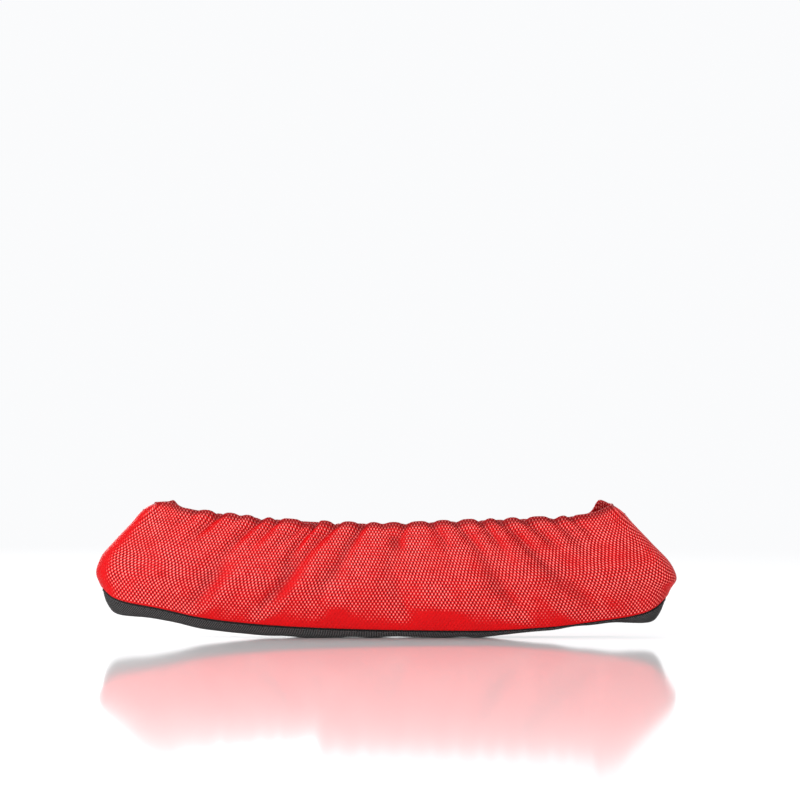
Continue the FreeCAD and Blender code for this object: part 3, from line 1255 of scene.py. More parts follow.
def sewn_line(name: str, path: np.ndarray, tree: MeshTree, finish: bpy.types.Material) -> bpy.types.Object:
    """A row of stitches along a path.

    Args:
        name: the piece's name.
        path: points along the row.
        tree: the stitch tree.
        finish: the thread's material.

    Returns:
        The stitches as one mesh piece.
    """
    mesh = bpy.data.meshes.new(name)
    mesh.from_pydata(path.tolist(), [(i, i + 1) for i in range(len(path) - 1)], [])
    piece = bpy.data.objects.new(name, mesh)
    bpy.context.scene.collection.objects.link(piece)
    tree.apply(piece, Pitch=3.4 * MM, Stitch_Length=3.0 * MM, Thread=0.42 * MM, Finish=finish)
    piece.data.polygons.foreach_set("use_smooth", [True] * len(piece.data.polygons))
    return piece


# ---------------------------------------------------------------- the gathered cloth


@dataclass
class Wall:
    """Cloth points with their normals, their places on the flat cloth and their painted shade, columns first.

    A whole ring has one more column of flat places than of points, where the last meets the first.
    """

    points: np.ndarray
    normals: np.ndarray
    cut: np.ndarray
    shade: np.ndarray | None = None

    def quarter(self, side: Side, end: End) -> "Wall":
        """The quarter of the ring on one side of the guard, at one end.

        Args:
            side: which long side.
            end: which end.

        Returns:
            The quarter, with its flat places measured from the middle of the side.
        """
        count = len(self.points)
        start = 0 if side is Side.LEFT else count // 2
        middle, stop = start + count // 4, start + count // 2
        runs_from_toe = side is Side.LEFT
        first_part = (end is End.TOE) == runs_from_toe
        pick = np.arange(start, middle + 1) if first_part else np.arange(middle, stop + 1)
        cut = self.cut[pick] - self.cut[middle : middle + 1] * np.array([1.0, 0.0])
        pick %= count
        shade = None if self.shade is None else self.shade[pick]
        return Wall(self.points[pick], self.normals[pick], cut, shade)

    def flat_size(self) -> tuple[float, float, float]:
        """The cloth's size before it was sewn.

        Returns:
            Its width, length and area.
        """
        across = self.cut[1:, 1:] - self.cut[:-1, :-1]
        other = self.cut[:-1, 1:] - self.cut[1:, :-1]
        cells = 0.5 * np.abs(across[..., 0] * other[..., 1] - across[..., 1] * other[..., 0])
        width, length = float(np.ptp(self.cut[..., 1])), float(np.ptp(self.cut[..., 0]))
        return width, length, float(cells.sum())


def quarters() -> list[tuple[Side, End, str]]:
    """Each side and end of the guard, with the words that name its pieces."""
    words = {End.TOE: "toe", End.HEEL: "heel"}
    return [(side, end, f"{side.name.lower()}_{words[end]}") for side in Side for end in End]


@dataclass
class MovingCloth:
    """Cloth held by the sole at both ends and by a side that leans out; bend only bakes a piece's transform
    into its mesh.
    """

    still_from: float = 0.116
    moving_from: float = 0.012

    def bend(self, piece: bpy.types.Object, side: Side, end: End) -> None:
        """Bakes a piece's transform into its mesh."""
        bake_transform(piece)


@dataclass
class OuterCloth:
    """The two outer panels: one gathered ring of cloth, with its top edge turned in as a hem."""

    plan: ClothCut = CUT
    sheet: float = 0.5 * MM
    roll: float = 1.5 * MM
    roll_steps: int = 7
    flap_depth: float = 8.6 * MM
    refine: int = 2
    tuck: float = 1.2 * MM
    far_drop: float = 1.7 * MM
    tips: tuple[tuple[float, float, float, float], ...] = (
        (0.1152, 0.0027, 0.0049, 0.0052),
        (-0.1156, 0.0022, 0.0014, 0.0014),
    )
    after: tuple[float, float] = (0.9, 0.9)
    gathered_to: tuple[float, float] = (0.092, 0.118)
    belly: float = 0.4 * MM
    end_hold: float = 0.35
    loose_hold: float = 0.02
    stitch_above_flap: float = 0.9 * MM
    stitch_proud: float = 0.06 * MM
    relief: np.ndarray = field(init=False)
    wall: Wall = field(init=False)
    first_row: int = field(init=False)
    mouth_row: int = field(init=False)
    row_space: float = field(init=False)

    def share_up(self) -> np.ndarray:
        """How far up the wall each row is."""
        return np.linspace(0.0, 1.0, self.plan.rows + 1)

    def seeded(self, hull: np.ndarray) -> np.ndarray:
        """The surface with its folds in place, before the simulation. Keeps what is added again after it.

        Args:
            hull: the smooth surface, as a ring of columns.

        Returns:
            The ring with every valley pressed in and the cloth between them puffed out.
        """
        x, up = hull[..., 0], self.share_up()
        valleys = np.zeros(x.shape)
        left = hull[..., 1] <= 0.0
        swell = np.zeros(x.shape)
        for folds, slack, here in ((LEFT_FOLDS, LEFT_SLACK, left), (RIGHT_FOLDS, RIGHT_SLACK, ~left)):
            valleys += np.where(here, sum(fold.valley(x, up) for fold in folds), 0.0)
            swell += np.where(here, sum(bulge.swell(x, up) for bulge in slack), 0.0)
        gathered = 1.0 - smooth(*self.gathered_to, np.abs(x))
        puff = self.plan.puff * gathered * smooth(0.0, 0.5, up) + self.belly * np.sin(np.pi * up) + swell
        self.relief = self.after[0] * swell - self.after[1] * valleys * (1.0 - smooth(0.8, 1.0, up))
        moved = hull + ring_normals(hull) * (puff - valleys)[..., None]
        moved[..., 2] -= 0.9 * valleys * smooth(0.8, 1.0, up) * gathered
        moved[..., 2] -= np.where(left, 0.0, self.far_drop) * smooth(0.5, 1.0, up) * gathered
        far = smooth(-2.0 * MM, 3.0 * MM, hull[..., 1]) * smooth(0.6, 1.0, up)
        for tip_x, toe_side, heel_side, rise in self.tips:
            reach = np.where(x < tip_x, toe_side, heel_side)
            moved[..., 2] += rise * far * np.exp(-(((x - tip_x) / reach) ** 2))
        moved[:, 0] = hull[:, 0]
        return moved

    def cut_size(self, hull: np.ndarray) -> np.ndarray:
        """The surface at the cloth's own size: longer towards the mouth, and as high as before.

        Args:
            hull: the smooth surface.

        Returns:
            Points whose distances are the cloth's own.
        """
        reach = self.plan.gather_end
        share = np.clip(hull[..., 0] / reach, -1.0, 1.0)
        added = self.plan.gather * smooth(0.10, 0.95, self.share_up()) * reach * (share - share**5 / 5)
        longer = hull.copy()
        longer[..., 0] += added
        climb = np.linalg.norm(np.diff(hull, axis=1), axis=2)
        sideways = np.linalg.norm(np.diff(longer[..., :2], axis=1), axis=2)
        rise = np.sqrt(np.maximum(climb**2 - sideways**2, (0.4 * climb) ** 2))
        longer[:, 1:, 2] = longer[:, :1, 2] + np.cumsum(rise, axis=1)
        return longer

    def held(self, hull: np.ndarray) -> np.ndarray:
        """How firmly each point is held: seam and mouth fully, the taut ends partly, the rest a little.

        Args:
            hull: the smooth surface.

        Returns:
            A hold from 0 to 1 for each point.
        """
        ends = self.end_hold * smooth(0.118, 0.142, np.abs(hull[..., 0]))
        held = np.round(self.loose_hold + ends, 2)
        held[:, 0] = 1.0
        held[:, -1] = 1.0
        held[:, -2] = 0.5
        return held

    def flat(self, longer: np.ndarray) -> np.ndarray:
        """Where each point lies on the flat cloth, in metres along its row and up its column."""
        return ring_wall(longer).cut

    def shape(self) -> None:
        """Settles the cloth, adds its relief again, and adds its hem and its tucked lower edge."""
        plan = self.plan
        hull = FORM.wall(plan.columns, plan.rows, (FORM.seam, 0.0), (FORM.mouth, -self.roll))
        start = self.seeded(hull)
        longer = self.cut_size(hull)
        settled = settle(start, longer, self.held(hull), plan)
        normals = ring_normals(hull)
        moved = np.sum((settled - hull) * normals, axis=-1, keepdims=True)
        wanted = moved + self.relief[..., None]
        cap = np.where(wanted < 0.0, plan.cap_in, plan.cap_out)
        settled = settled + normals * (cap * np.tanh(wanted / cap) - moved)
        fine_hull, fine = self.refined(hull, ring=True), self.refined(settled, ring=True)
        self.wall = self.hemmed(fine_hull, fine, self.refined(self.flat(longer), ring=False))

    def refined(self, grid: np.ndarray, ring: bool) -> np.ndarray:
        """A grid with more columns and rows, on smooth curves through the old points."""
        wide = finer(grid, self.refine, ring)
        return finer(wide.swapaxes(0, 1), self.refine, ring=False).swapaxes(0, 1)

    def hemmed(self, hull: np.ndarray, wall: np.ndarray, cut: np.ndarray) -> Wall:
        """Adds the roll and the flap at the mouth and the tuck at the seam.

        Args:
            hull: the smooth surface.
            wall: the settled cloth.
            cut: its flat places.

        Returns:
            The whole ring.
        """
        normals, up = ring_normals(hull), np.array([0.0, 0.0, 1.0])
        outward = unit(normals[:, -1] * np.array([1.0, 1.0, 0.35]))
        top = wall[:, -1]
        angles = np.linspace(0.0, np.pi, self.roll_steps + 1)[1:]
        roll = [top + self.roll * (outward * (math.cos(a) - 1.0) + up * math.sin(a)) for a in angles]
        spacing = float(np.mean(np.linalg.norm(wall[:, -1] - wall[:, -2], axis=1)))
        flap_rows = int(round(self.flap_depth / spacing))
        follow = 0.5 * (wall + hull) - normals * 2 * self.roll
        flap = [
            follow[:, -1 - k] + (roll[-1] - follow[:, -1]) * (1.0 - smooth(0.0, 5.0, k))
            for k in range(1, flap_rows + 1)
        ]
        low = wall[:, 0]
        tucked = [low - normals[:, 0] * self.tuck, low - normals[:, 0] * 0.3 * self.tuck - up * 0.25 * MM]
        points = np.stack([*tucked, *wall.swapaxes(0, 1), *roll, *flap], axis=1)
        steps = np.linalg.norm(np.diff(points, axis=1), axis=2)
        steps = np.concatenate([steps, steps[:1]])
        self.first_row, self.mouth_row = len(tucked), len(tucked) + wall.shape[1] - 1
        self.row_space = spacing
        beyond = cut[:, -1:, 1] + np.cumsum(steps[:, self.mouth_row :], axis=1)
        before = cut[:, :1, 1] - np.cumsum(steps[:, : self.first_row][:, ::-1], axis=1)[:, ::-1]
        climb = np.concatenate([before, cut[..., 1], beyond], axis=1)
        run = np.pad(cut[..., 0], ((0, 0), (self.first_row, beyond.shape[1])), mode="edge")
        shade = self.shaded(wall, hull, normals, points.shape[1])
        return Wall(points, ring_normals(points), np.stack([run, climb], axis=-1), shade)

    def shaded(self, wall: np.ndarray, hull: np.ndarray, normals: np.ndarray, rows: int) -> np.ndarray:
        """How much painted shade each point gets, from 0 to 1: in the cloth's valleys, at the rolled rim and
        over the hem.

        Args:
            wall: the settled cloth.
            hull: the smooth surface.
            normals: its normals.
            rows: the number of rows with the tuck, the roll and the flap.

        Returns:
            The painted shade of every point of the ring.
        """
        out = np.sum((wall - hull) * normals, axis=-1)
        reach = 5 * self.refine
        around = np.mean([np.roll(out, k, axis=0) for k in range(-reach, reach + 1)], axis=0)
        # Painted shade in the valleys: points lying lower than their neighbours along the ring are darkened.
        crease_shade = 0.55 * np.clip((around - out - 0.3 * MM) / (1.5 * MM), 0.0, 1.0)
        # Painted shade at the rim: the top rows are darkened, and the padding carries it over the roll and
        # the flap.
        edge = 0.85 * smooth(0.95, 1.0, np.linspace(0.0, 1.0, wall.shape[1]))[None]
        upper = np.clip(crease_shade + edge, 0.0, 1.0)
        return np.pad(upper, ((0, 0), (self.first_row, rows - self.first_row - wall.shape[1])), mode="edge")

    def build(self, finish: bpy.types.Material, cloth: MovingCloth) -> list[bpy.types.Object]:
        """Makes the four quarters of the outer panels.

        Args:
            finish: the nylon.
            cloth: bakes each quarter's transform into its mesh.

        Returns:
            The pieces.
        """
        made = []
        for side, end, words in quarters():
            part = self.wall.quarter(side, end)
            piece = thick_sheet(f"outer_panel_{words}", part, self.sheet)
            piece.data.materials.append(finish)
            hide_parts(side.node("outer_panel"))
            width, length, area = part.flat_size()
            LOG.info("%s flat %.3f x %.3f m, %.5f m2", piece.name, width, length, area)
            cloth.bend(piece, side, end)
            made.append(piece)
        return made

    def row_below_mouth(self, drop: float) -> int:
        """The outer face's row that lies a drop below the mouth."""
        return self.mouth_row - int(round(drop / self.row_space))

    def hem_line(self) -> np.ndarray:
        """The ring of points on the outer face where the hem is sewn down."""
        row = self.row_below_mouth(self.flap_depth - self.stitch_above_flap)
        return self.wall.points[:, row] + self.wall.normals[:, row] * self.stitch_proud

    def tunnel(self, top: float, bottom: float) -> Wall:
        """The middle of the hem's tunnel, as a ring.

        Args:
            top: the band's upper edge, below the mouth.
            bottom: its lower edge.

        Returns:
            The ring, rows upwards.
        """
        first, last = (int(round(drop / self.row_space)) for drop in (bottom, top))
        flap_start = self.mouth_row + self.roll_steps
        rows = [
            0.5 * (self.wall.points[:, self.mouth_row - k] + self.wall.points[:, flap_start + k])
            for k in range(first, last - 1, -1)
        ]
        points = np.stack(rows, axis=1)
        return ring_wall(points)


def ring_wall(points: np.ndarray) -> Wall:
    """A ring of points with normals and flat places worked out from it.

    Args:
        points: the ring, columns first.

    Returns:
        The ring as a wall of cloth.
    """
    closed = np.concatenate([points, points[:1]])
    cut = np.zeros((*closed.shape[:2], 2))
    cut[1:, :, 0] = np.cumsum(np.linalg.norm(np.diff(closed, axis=0), axis=2), axis=0)
    cut[:, 1:, 1] = np.cumsum(np.linalg.norm(np.diff(closed, axis=1), axis=2), axis=1)
    return Wall(points, ring_normals(points), cut)


@dataclass
class InnerCloth:
    """What the outer cloth carries on its inside: the lining, the elastic and the hem's stitches."""

    lining_inset: float = 3.1 * MM
    lining_sheet: float = 1.0 * MM
    lining_columns: int = 300
    lining_rows: int = 44
    lining_drop: float = 10.6 * MM
    loft: float = 0.12 * MM
    elastic_sheet: float = 0.6 * MM
    elastic_top: float = 1.4 * MM
    elastic_bottom: float = 7.4 * MM

    def lining_ring(self) -> Wall:
        """The pile lining's outer face, slightly uneven as loose pile is.

        Returns:
            The face, as a ring.
        """
        ring = FORM.wall(
            self.lining_columns,
            self.lining_rows,
            (FORM.seam, 1.2 * MM),
            (FORM.mouth, -self.lining_drop),
            self.lining_inset,
        )
        x, z = ring[..., 0] / MM, ring[..., 2] / MM
        uneven = np.sin(0.61 * x + 1.3 * np.sin(0.23 * z)) * np.sin(0.83 * z + 0.9 * np.sin(0.31 * x))
        return ring_wall(ring + ring_normals(ring) * (self.loft * uneven)[..., None])

    def build(
        self,
        outer: OuterCloth,
        cloth: MovingCloth,
        stitches: MeshTree,
        finishes: dict[str, bpy.types.Material],
    ) -> list[bpy.types.Object]:
        """Makes the lining, the elastic and the stitches, in quarters.

        Args:
            outer: the outer cloth, already shaped.
            cloth: bakes each quarter's transform into its mesh.
            stitches: the stitch tree.
            finishes: the finish for each material slot.

        Returns:
            The pieces.
        """
        lining = self.lining_ring()
        band = outer.tunnel(self.elastic_top, self.elastic_bottom)
        band = Wall(band.points + band.normals * self.elastic_sheet / 2, band.normals, band.cut)
        sewn = outer.hem_line()
        sewn_ring = Wall(sewn, sewn, np.zeros((len(sewn) + 1, 2)))
        made = []
        for side, end, words in quarters():
            part = lining.quarter(side, end)
            pile = thick_sheet(f"lining_{words}", part, self.lining_sheet)
            width, length, area = part.flat_size()
            LOG.info("%s flat %.3f x %.3f m, %.5f m2", pile.name, width, length, area)
            elastic = thick_sheet(f"mouth_elastic_{words}", band.quarter(side, end), self.elastic_sheet)
            path = sewn_ring.quarter(side, end).points
            line = sewn_line(f"hem_stitching_{words}", path, stitches, finishes["red_thread"])
            for piece, node, slot in (
                (pile, "lining", "terry"),
                (elastic, "mouth_elastic", "elastic"),
                (line, "hem_stitching", "red_thread"),
            ):
                if not piece.data.materials:
                    piece.data.materials.append(finishes[slot])
                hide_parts(side.node(node))
                cloth.bend(piece, side, end)
                made.append(piece)
        return made


# ---------------------------------------------------------------- the sole


def welded(piece: bpy.types.Object, distance: float = 1e-6) -> bpy.types.Object:
    """Joins a piece's doubled points, and turns all its faces outwards.

    Args:
        piece: the mesh object.
        distance: how near two points count as one.

    Returns:
        The piece.
    """
    work = bmesh.new()
    work.from_mesh(piece.data)
    bmesh.ops.remove_doubles(work, verts=work.verts[:], dist=distance)
    bmesh.ops.dissolve_degenerate(work, edges=work.edges[:], dist=distance)
    bmesh.ops.recalc_face_normals(work, faces=work.faces[:])
    work.to_mesh(piece.data)
    work.free()
    return piece


def both_sides(left: np.ndarray) -> np.ndarray:
    """Profiles of the left half, outside to middle, carried on to the right half.

    Args:
        left: columns along the guard, each a profile that ends at the middle line.

    Returns:
        Columns whose profiles run from the left to the right.
    """
    return np.concatenate([left, left[:, -2::-1] * np.array([1.0, -1.0, 1.0])], axis=1)


@dataclass
class Sole:
    """The ribbed webbing channel, its stitching, and the blade's bed inside it."""

    ribs: int = 318
    samples: int = 4
    rib_pitch: float = 1.0 * MM
    rib_depth: float = 0.24 * MM
    inset: float = 0.7 * MM
    sheet: float = 1.5 * MM
    corner: float = 2.3 * MM
    corner_steps: int = 4
    wall_rows: int = 7
    floor_rows: int = 6
    top_gap: float = 0.35 * MM
    uneven: float = 0.36 * MM
    stitch_drop: float = 1.5 * MM
    stitch_share: float = 0.36
    stitch_columns: int = 420
    strip_span: tuple[float, float] = (1.95 * MM, 3.15 * MM)
    pad_span: tuple[float, float] = (3.25 * MM, 5.8 * MM)
    pad_crown: float = 0.45
    # How far below the tape's top edge the painted shadow of the overhanging cloth reaches.
    overhang_shadow: float = 1.5 * MM
    bed_inset: float = 4.4 * MM
    bed_columns: int = 220

    def underside(self, x: np.ndarray) -> np.ndarray:
        """How far the tape's lower face stands above the smooth sole, being a little uneven."""
        wave = np.sin(x / 0.0049) + 0.8 * np.sin(x / 0.0112 + 1.1) + 0.6 * np.sin(x / 0.0031 + 0.4)
        return self.rib_depth + self.uneven * (1.0 + wave / 2.4)

    def wall_height(self, share: np.ndarray, inset: float) -> np.ndarray:
        """How far the channel's wall is turned up at each place along the guard."""
        return FORM.meets(share, FORM.seam, inset, 0.0) - FORM.meets(share, FORM.sole, inset, 0.0)

    def profile(self, columns: int, inset: float, raised: float, corner: float, wall_rows: int) -> np.ndarray:
        """One face of the channel: from the top edge on the left down, and in to the middle line.

        Args:
            columns: number of spaces along the guard.
            inset: how far inside the outer cloth's surface its wall is.
            raised: how far its floor is above the sole.
            corner: radius of the turn between wall and floor.
            wall_rows: number of spaces down the wall.

        Returns:
            Columns along the guard, each a profile.
        """
        share = np.linspace(0.0, 1.0, columns + 1)
        top = FORM.meets(share, FORM.seam, inset, -self.top_gap)
        base = FORM.meets(share, FORM.sole, inset, raised)
        radius = np.minimum(corner, 0.62 * (top - base))[:, None]
        down = np.linspace(0.0, 1.0, wall_rows + 1)
        straight = top[:, None] + (base[:, None] + radius - top[:, None]) * down
        turns = np.linspace(0.0, np.pi / 2, self.corner_steps + 1)[1:]
        turned = base[:, None] + radius * (1.0 - np.sin(turns))
        height = np.concatenate([straight, turned], axis=1)
        inward = np.concatenate([np.zeros_like(straight), radius * (1.0 - np.cos(turns))], axis=1)
        bend = FORM.level(np.repeat(share[:, None], height.shape[1], axis=1), height, inset + inward)
        edge = bend[:, -1]
        middle = edge * np.array([1.0, 0.0, 1.0])
        floor = [edge + (middle - edge) * k / self.floor_rows for k in range(1, self.floor_rows + 1)]
        face = np.concatenate([bend, np.stack(floor, axis=1)], axis=1)
        low = 1.0 - smooth(0.0, 7.0 * MM, face[..., 2] - through(FORM.sole, face[..., 0]))
        face[..., 2] += self.underside(face[..., 0]) * low
        return both_sides(face)

    def webbing(self, ribs: MeshTree, finish: bpy.types.Material) -> bpy.types.Object:
        """Makes the webbing as one closed channel with a rib at every pitch.

        Args:
            ribs: the rib tree.
            finish: the webbing's material.

        Returns:
            The piece.
        """
        columns = self.ribs * self.samples
        outer = self.profile(columns, self.inset, 0.0, self.corner, self.wall_rows)
        inner = self.profile(columns, self.inset + self.sheet, self.sheet, 0.6 * MM, self.wall_rows)
        inner[..., 2] = np.maximum(inner[..., 2], outer[..., 2].min(axis=1, keepdims=True) + self.sheet)
        inner[:, 0, 2], inner[:, -1, 2] = outer[:, 0, 2], outer[:, -1, 2]
        loop = np.concatenate([outer, inner[:, ::-1]], axis=1)
        rows = loop.shape[1]
        i, j = np.meshgrid(np.arange(columns), np.arange(rows), indexing="ij")
        after = (j + 1) % rows
        here, beside = i * rows, (i + 1) * rows
        faces = np.stack([here + j, here + after, beside + after, beside + j], axis=-1)
        piece = mesh_object("sole_webbing_tape", loop, faces.reshape(-1, 4))
        step = self.rib_pitch / self.samples
        along = np.repeat(np.arange(columns + 1)[:, None] * step, rows, axis=1)
        across = np.zeros((columns + 1, rows))
        across[:, 1:] = np.cumsum(np.linalg.norm(np.diff(loop, axis=1), axis=2), axis=1)
        paint_uv(piece, np.stack([along, across], axis=-1))
        along = along.copy()
        along[:, outer.shape[1] :] = self.rib_pitch / 2
        along[0], along[-1] = self.rib_pitch / 2, self.rib_pitch / 2
        attribute = piece.data.attributes.new("along", "FLOAT", "POINT")
        attribute.data.foreach_set("value", along.astype(np.float32).ravel())
        # Painted shadow: a band below the tape's top edge, under the overhanging red cloth, is darkened
        # through the shade attribute.
        top = np.maximum(outer[:, :1, 2], inner[:, :1, 2])
        shade = 1.0 - smooth(0.4 * MM, self.overhang_shadow, top - loop[..., 2])
        shaded = piece.data.attributes.new("shade", "FLOAT", "POINT")
        shaded.data.foreach_set("value", shade.astype(np.float32).ravel())
        welded(piece)
        ribs.apply(piece, Pitch=self.rib_pitch, Depth=self.rib_depth, Finish=finish)
        piece.data.attributes.remove(piece.data.attributes["along"])
        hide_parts("sole_webbing")
        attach(piece, SOLE)
        return piece

    def bed_layer(self, name: str, low: float, high: float, rounding: float) -> bpy.types.Object:
        """One layer of the blade's bed, as a closed slab with rounded sides.

        Args:
            name: the piece's name.
            low: its lower face's height above the sole.
            high: its upper face's height.
            rounding: 0 for square sides, and up to 1 for a fully crowned slab.

        Returns:
            The slab.
        """
        share = np.linspace(0.004, 0.996, self.bed_columns + 1)
        height = FORM.meets(share, FORM.sole, self.bed_inset, high)
        edge = FORM.level(share, height, self.bed_inset)
        base = through(FORM.sole, edge[:, 0])
        across = np.sin(np.linspace(-np.pi / 2, np.pi / 2, 19))
        ends = np.minimum(1.0, np.minimum(np.arange(len(share)), np.arange(len(share))[::-1]) / 5.0)
        ends = np.sqrt(1.0 - (1.0 - ends) ** 2)[:, None]
        swell = (1.0 - np.abs(across) ** (2.0 + 6.0 * (1.0 - rounding))) ** 0.5 * ends
        middle, half = (low + high) / 2, (high - low) / 2
        x = np.broadcast_to(edge[:, :1], swell.shape)
        y = np.abs(edge[:, 1:2]) * across
        level = base[:, None] + middle
        top = np.stack([x, y, level + half * swell], axis=-1)
        bottom = np.stack([x, y, level - half * swell], axis=-1)
        count = top.shape[0] * top.shape[1]
        faces = grid_faces(*top.shape[:2])
        both_faces = np.concatenate([faces, faces[:, ::-1] + count])
        piece = mesh_object(name, np.concatenate([top, bottom]), both_faces)
        flat = np.stack([x, y], axis=-1)
        paint_uv(piece, np.concatenate([flat, flat]))
        return welded(piece, 2e-6)

    def bed(self, finishes: dict[str, bpy.types.Material]) -> list[bpy.types.Object]:
        """Makes the cut guard strip and the pad on it.

        Args:
            finishes: the finish for each material slot.

        Returns:
            The strip and the pad.
        """
        strip = self.bed_layer("cut_guard_tape", *self.strip_span, 0.0)
        pad = self.bed_layer("blade_bed_cushion", *self.pad_span, self.pad_crown)
        for piece, node, slot in ((strip, "cut_guard_strip", "guard_strip"), (pad, "blade_bed_pad", "terry")):
            piece.data.materials.append(finishes[slot])
            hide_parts(node)
            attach(piece, SOLE)
        return [strip, pad]

    def stitching(self, stitches: MeshTree, finish: bpy.types.Material) -> list[bpy.types.Object]:
        """Makes the row of stitches below the seam on each side.

        Args:
            stitches: the stitch tree.
            finish: the thread.

        Returns:
            The left row and the right row.
        """
        share = np.linspace(0.002, 0.998, self.stitch_columns)
        inset = self.inset - self.rib_depth
        drop = np.minimum(self.stitch_drop, self.stitch_share * self.wall_height(share, inset))
        height = FORM.meets(share, FORM.seam, inset, -drop)
        left = FORM.level(share, height, inset)
        made = []
        for side, path in ((Side.LEFT, left), (Side.RIGHT, left * np.array([1.0, -1.0, 1.0]))):
            piece = sewn_line(f"sole_stitches_{side.name.lower()}", path, stitches, finish)
            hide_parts(side.node("sole_stitching"))
            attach(piece, SOLE)
            made.append(piece)
        return made

    def build(
        self, ribs: MeshTree, stitches: MeshTree, finishes: dict[str, bpy.types.Material]
    ) -> list[bpy.types.Object]:
        """Makes all the sole's pieces.

        Args:
            ribs: the rib tree.
            stitches: the stitch tree.
            finishes: the finish for each material slot.

        Returns:
            The pieces.
        """
        return [
            self.webbing(ribs, finishes["webbing"]),
            *self.stitching(stitches, finishes["black_thread"]),
            *self.bed(finishes),
        ]


@dataclass
class SeamBinding:
    """The tape over the raw edges inside each end."""

    end: End
    low: float = 0.0285
    high: float = 0.0555
    half: float = 2.4 * MM
    inset: float = 4.1 * MM
    sheet: float = 0.8 * MM
    rib_pitch: float = 0.7 * MM
    rib_depth: float = 0.08 * MM
    samples: int = 4

    def face(self) -> Wall:
        """The tape's face towards the seam, with columns across it.

        Returns:
            The face.
        """
        rows = int(round((self.high - self.low) / self.rib_pitch)) * self.samples + 1
        y = np.linspace(-self.half, self.half, 13)
        z = np.linspace(self.low, self.high, rows)
        height = np.broadcast_to(z, (len(y), rows))
        reach = through(FORM.toe_reach if self.end is End.TOE else FORM.heel_reach, height) - self.inset
        radius = through(FORM.end_round, height) - self.inset
        bulge = radius - np.sqrt(radius**2 - y[:, None] ** 2)
        out = self.end.value
        points = np.stack([out * (reach - bulge), np.broadcast_to(y[:, None], height.shape), height], axis=-1)
        if self.end is End.TOE:
            points = points[::-1]
        around, upwards = np.gradient(points, axis=0), np.gradient(points, axis=1)
        cut = np.stack([np.broadcast_to(y[:, None], height.shape), height], axis=-1)
        return Wall(points, unit(np.cross(around, upwards)), cut)

    def build(self, ribs: MeshTree, finish: bpy.types.Material) -> bpy.types.Object:
        """Makes the tape.

        Args:
            ribs: the rib tree.
            finish: the tape's material.

        Returns:
            The piece.
        """
        name = self.end.name.lower()
        piece = thick_sheet(f"{name}_seam_tape", self.face(), self.sheet)
        heights = np.zeros(len(piece.data.vertices) * 3, dtype=np.float32)
        piece.data.vertices.foreach_get("co", heights)
        attribute = piece.data.attributes.new("along", "FLOAT", "POINT")
        attribute.data.foreach_set("value", heights[2::3] - self.low)
        ribs.apply(piece, Pitch=self.rib_pitch, Depth=self.rib_depth, Finish=finish)
        piece.data.attributes.remove(piece.data.attributes["along"])
        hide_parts(f"{name}_seam_binding")
        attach(piece, SOLE)
        return piece


# ---------------------------------------------------------------- the studio


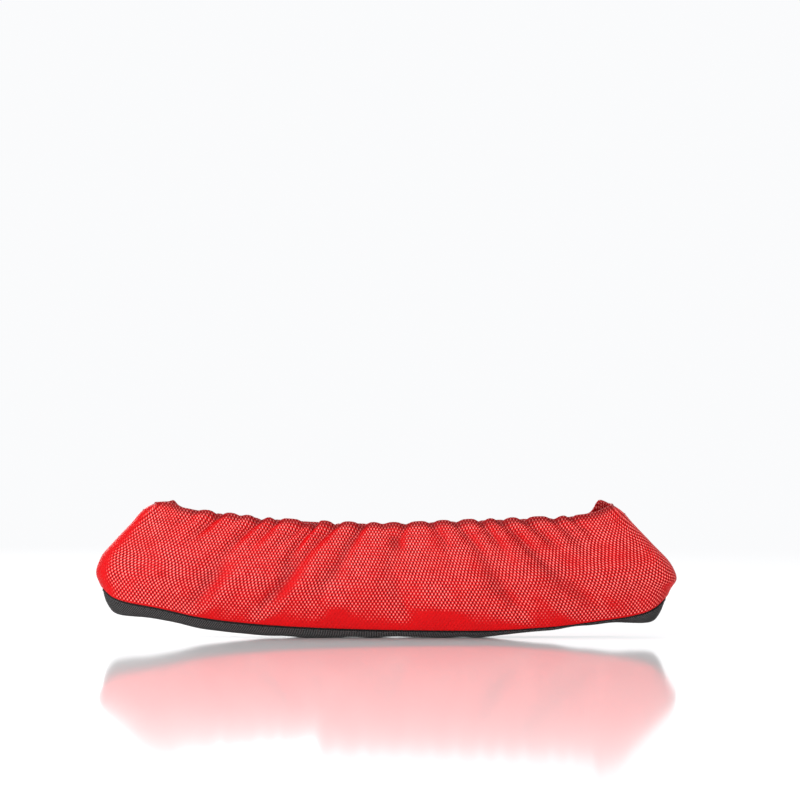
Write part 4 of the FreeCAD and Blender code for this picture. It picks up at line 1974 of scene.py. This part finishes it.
@dataclass
class Studio:
    """A pale floor, soft light and a level camera beside the guard."""

    floor: float = 6.0
    distance: float = 2.6
    aim: tuple[float, float] = (0.0073, 0.1287)
    lens: float = 215.6
    world: Color = (0.96, 0.965, 0.975, 1.0)
    ceiling: Color = (0.30, 0.30, 0.31, 1.0)
    world_strength: float = 1.0
    fade: tuple[float, float] = (0.55, 1.7)

    def lamp(self, name: str, place: tuple[float, float, float], size: float, power: float) -> None:
        """Adds a square soft light that points at the guard.

        Args:
            name: the light's name.
            place: where it stands.
            size: its width.
            power: its power in watts.
        """
        data = bpy.data.lights.new(name, "AREA")
        data.size, data.energy = size, power
        lamp = bpy.data.objects.new(name, data)
        lamp.location = place
        aim = mathutils.Vector((0.0, 0.0, 0.03)) - mathutils.Vector(place)
        lamp.rotation_euler = aim.to_track_quat("-Z", "Y").to_euler()
        bpy.context.scene.collection.objects.link(lamp)

    def pale_floor(self) -> bpy.types.Material:
        """A pale floor that runs out into the light of the studio's far wall.

        Returns:
            The material.
        """
        material, tree, shader = node_tree("pale_floor")
        wiring = Wiring(tree)
        shader.inputs["Base Color"].default_value = (0.93, 0.93, 0.935, 1.0)
        shader.inputs["Roughness"].default_value = 0.07
        shader.inputs["Specular IOR Level"].default_value = 0.4
        far = wiring.node("ShaderNodeVectorMath", operation="LENGTH")
        wiring.link(wiring.node("ShaderNodeTexCoord").outputs["Object"], far.inputs[0])
        fade = wiring.node("ShaderNodeMapRange", interpolation_type="SMOOTHSTEP")
        wiring.link(far.outputs["Value"], fade.inputs["Value"])
        fade.inputs["From Min"].default_value, fade.inputs["From Max"].default_value = self.fade
        glow = wiring.node("ShaderNodeEmission")
        glow.inputs["Color"].default_value = self.world
        glow.inputs["Strength"].default_value = self.world_strength
        mixed = wiring.node("ShaderNodeMixShader")
        wiring.link(fade.outputs["Result"], mixed.inputs["Fac"])
        wiring.link(shader.outputs["BSDF"], mixed.inputs[1])
        wiring.link(glow.outputs["Emission"], mixed.inputs[2])
        wiring.link(mixed.outputs[0], tree.nodes["Material Output"].inputs["Surface"])
        return material

    def build(self) -> None:
        """Makes the floor, the lights, the world and the camera."""
        scene = bpy.context.scene
        half = self.floor / 2
        corners = np.array([(-half, -half, 0.0), (half, -half, 0.0), (half, half, 0.0), (-half, half, 0.0)])
        ground = mesh_object("floor", corners, [(0, 1, 2, 3)])
        ground.data.materials.append(self.pale_floor())
        ground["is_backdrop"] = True
        world = bpy.data.worlds.new("studio_air")
        world.use_nodes = True
        sky = world.node_tree.nodes["Background"]
        wiring = Wiring(world.node_tree)
        parts = wiring.node("ShaderNodeSeparateXYZ")
        wiring.link(wiring.node("ShaderNodeTexCoord").outputs["Generated"], parts.inputs[0])
        height = wiring.ramp(parts.outputs["Z"], (0.22, self.world), (0.75, self.ceiling))
        wiring.link(height, sky.inputs["Color"])
        sky.inputs["Strength"].default_value = self.world_strength
        scene.world = world
        self.lamp("key_softbox", (-0.75, -1.25, 0.75), 0.45, 22.0)
        self.lamp("overhead_softbox", (0.1, 0.35, 1.4), 1.2, 14.0)
        self.lamp("front_fill", (0.8, -1.4, 0.35), 0.9, 4.0)
        self.lamp("back_fill", (-0.5, 1.5, 0.6), 1.0, 12.0)
        scene.view_settings.view_transform = "Standard"
        lens = bpy.data.cameras.new("side_camera")
        lens.lens, lens.sensor_width = self.lens, 36.0
        camera = bpy.data.objects.new("side_camera", lens)
        camera.location = (self.aim[0], -self.distance, self.aim[1])
        camera.rotation_euler = (math.pi / 2, 0.0, 0.0)
        scene.collection.objects.link(camera)
        scene.camera = camera


def as_lists(box: Sequence) -> list[list[float]]:
    """A box's two corners as plain lists."""
    return [[float(value) for value in corner] for corner in box]


def main(cad_box: list[list[float]]) -> None:
    """Builds the guard round its frame.

    Args:
        cad_box: the CAD model's corners; not used.
    """
    finishes = {
        "red_nylon": NylonFinish().build(),
        "webbing": WebbingFinish().build(),
        "terry": PileFinish().build(),
        "guard_strip": STRIP_FINISH.build(),
        "binding_tape": BINDING_FINISH.build(),
        "elastic": ELASTIC_FINISH.build(),
        "red_thread": RED_THREAD.build(),
        "black_thread": BLACK_THREAD.build(),
    }
    ribs, stitches, cloth = rib_tree(), stitch_tree(), MovingCloth()
    Studio().build()
    outer = OuterCloth()
    outer.shape()
    made = [*outer.build(finishes["red_nylon"], cloth), *InnerCloth().build(outer, cloth, stitches, finishes)]
    made += Sole().build(ribs, stitches, finishes)
    made += [SeamBinding(end).build(ribs, finishes["binding_tape"]) for end in End]
    for piece in made:
        LOG.info("%s: %d faces", piece.name, len(piece.data.polygons))


if __name__ == "__main__":
    logging.basicConfig(level=logging.INFO, format="%(name)s %(message)s")
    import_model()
    main(as_lists(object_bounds()))
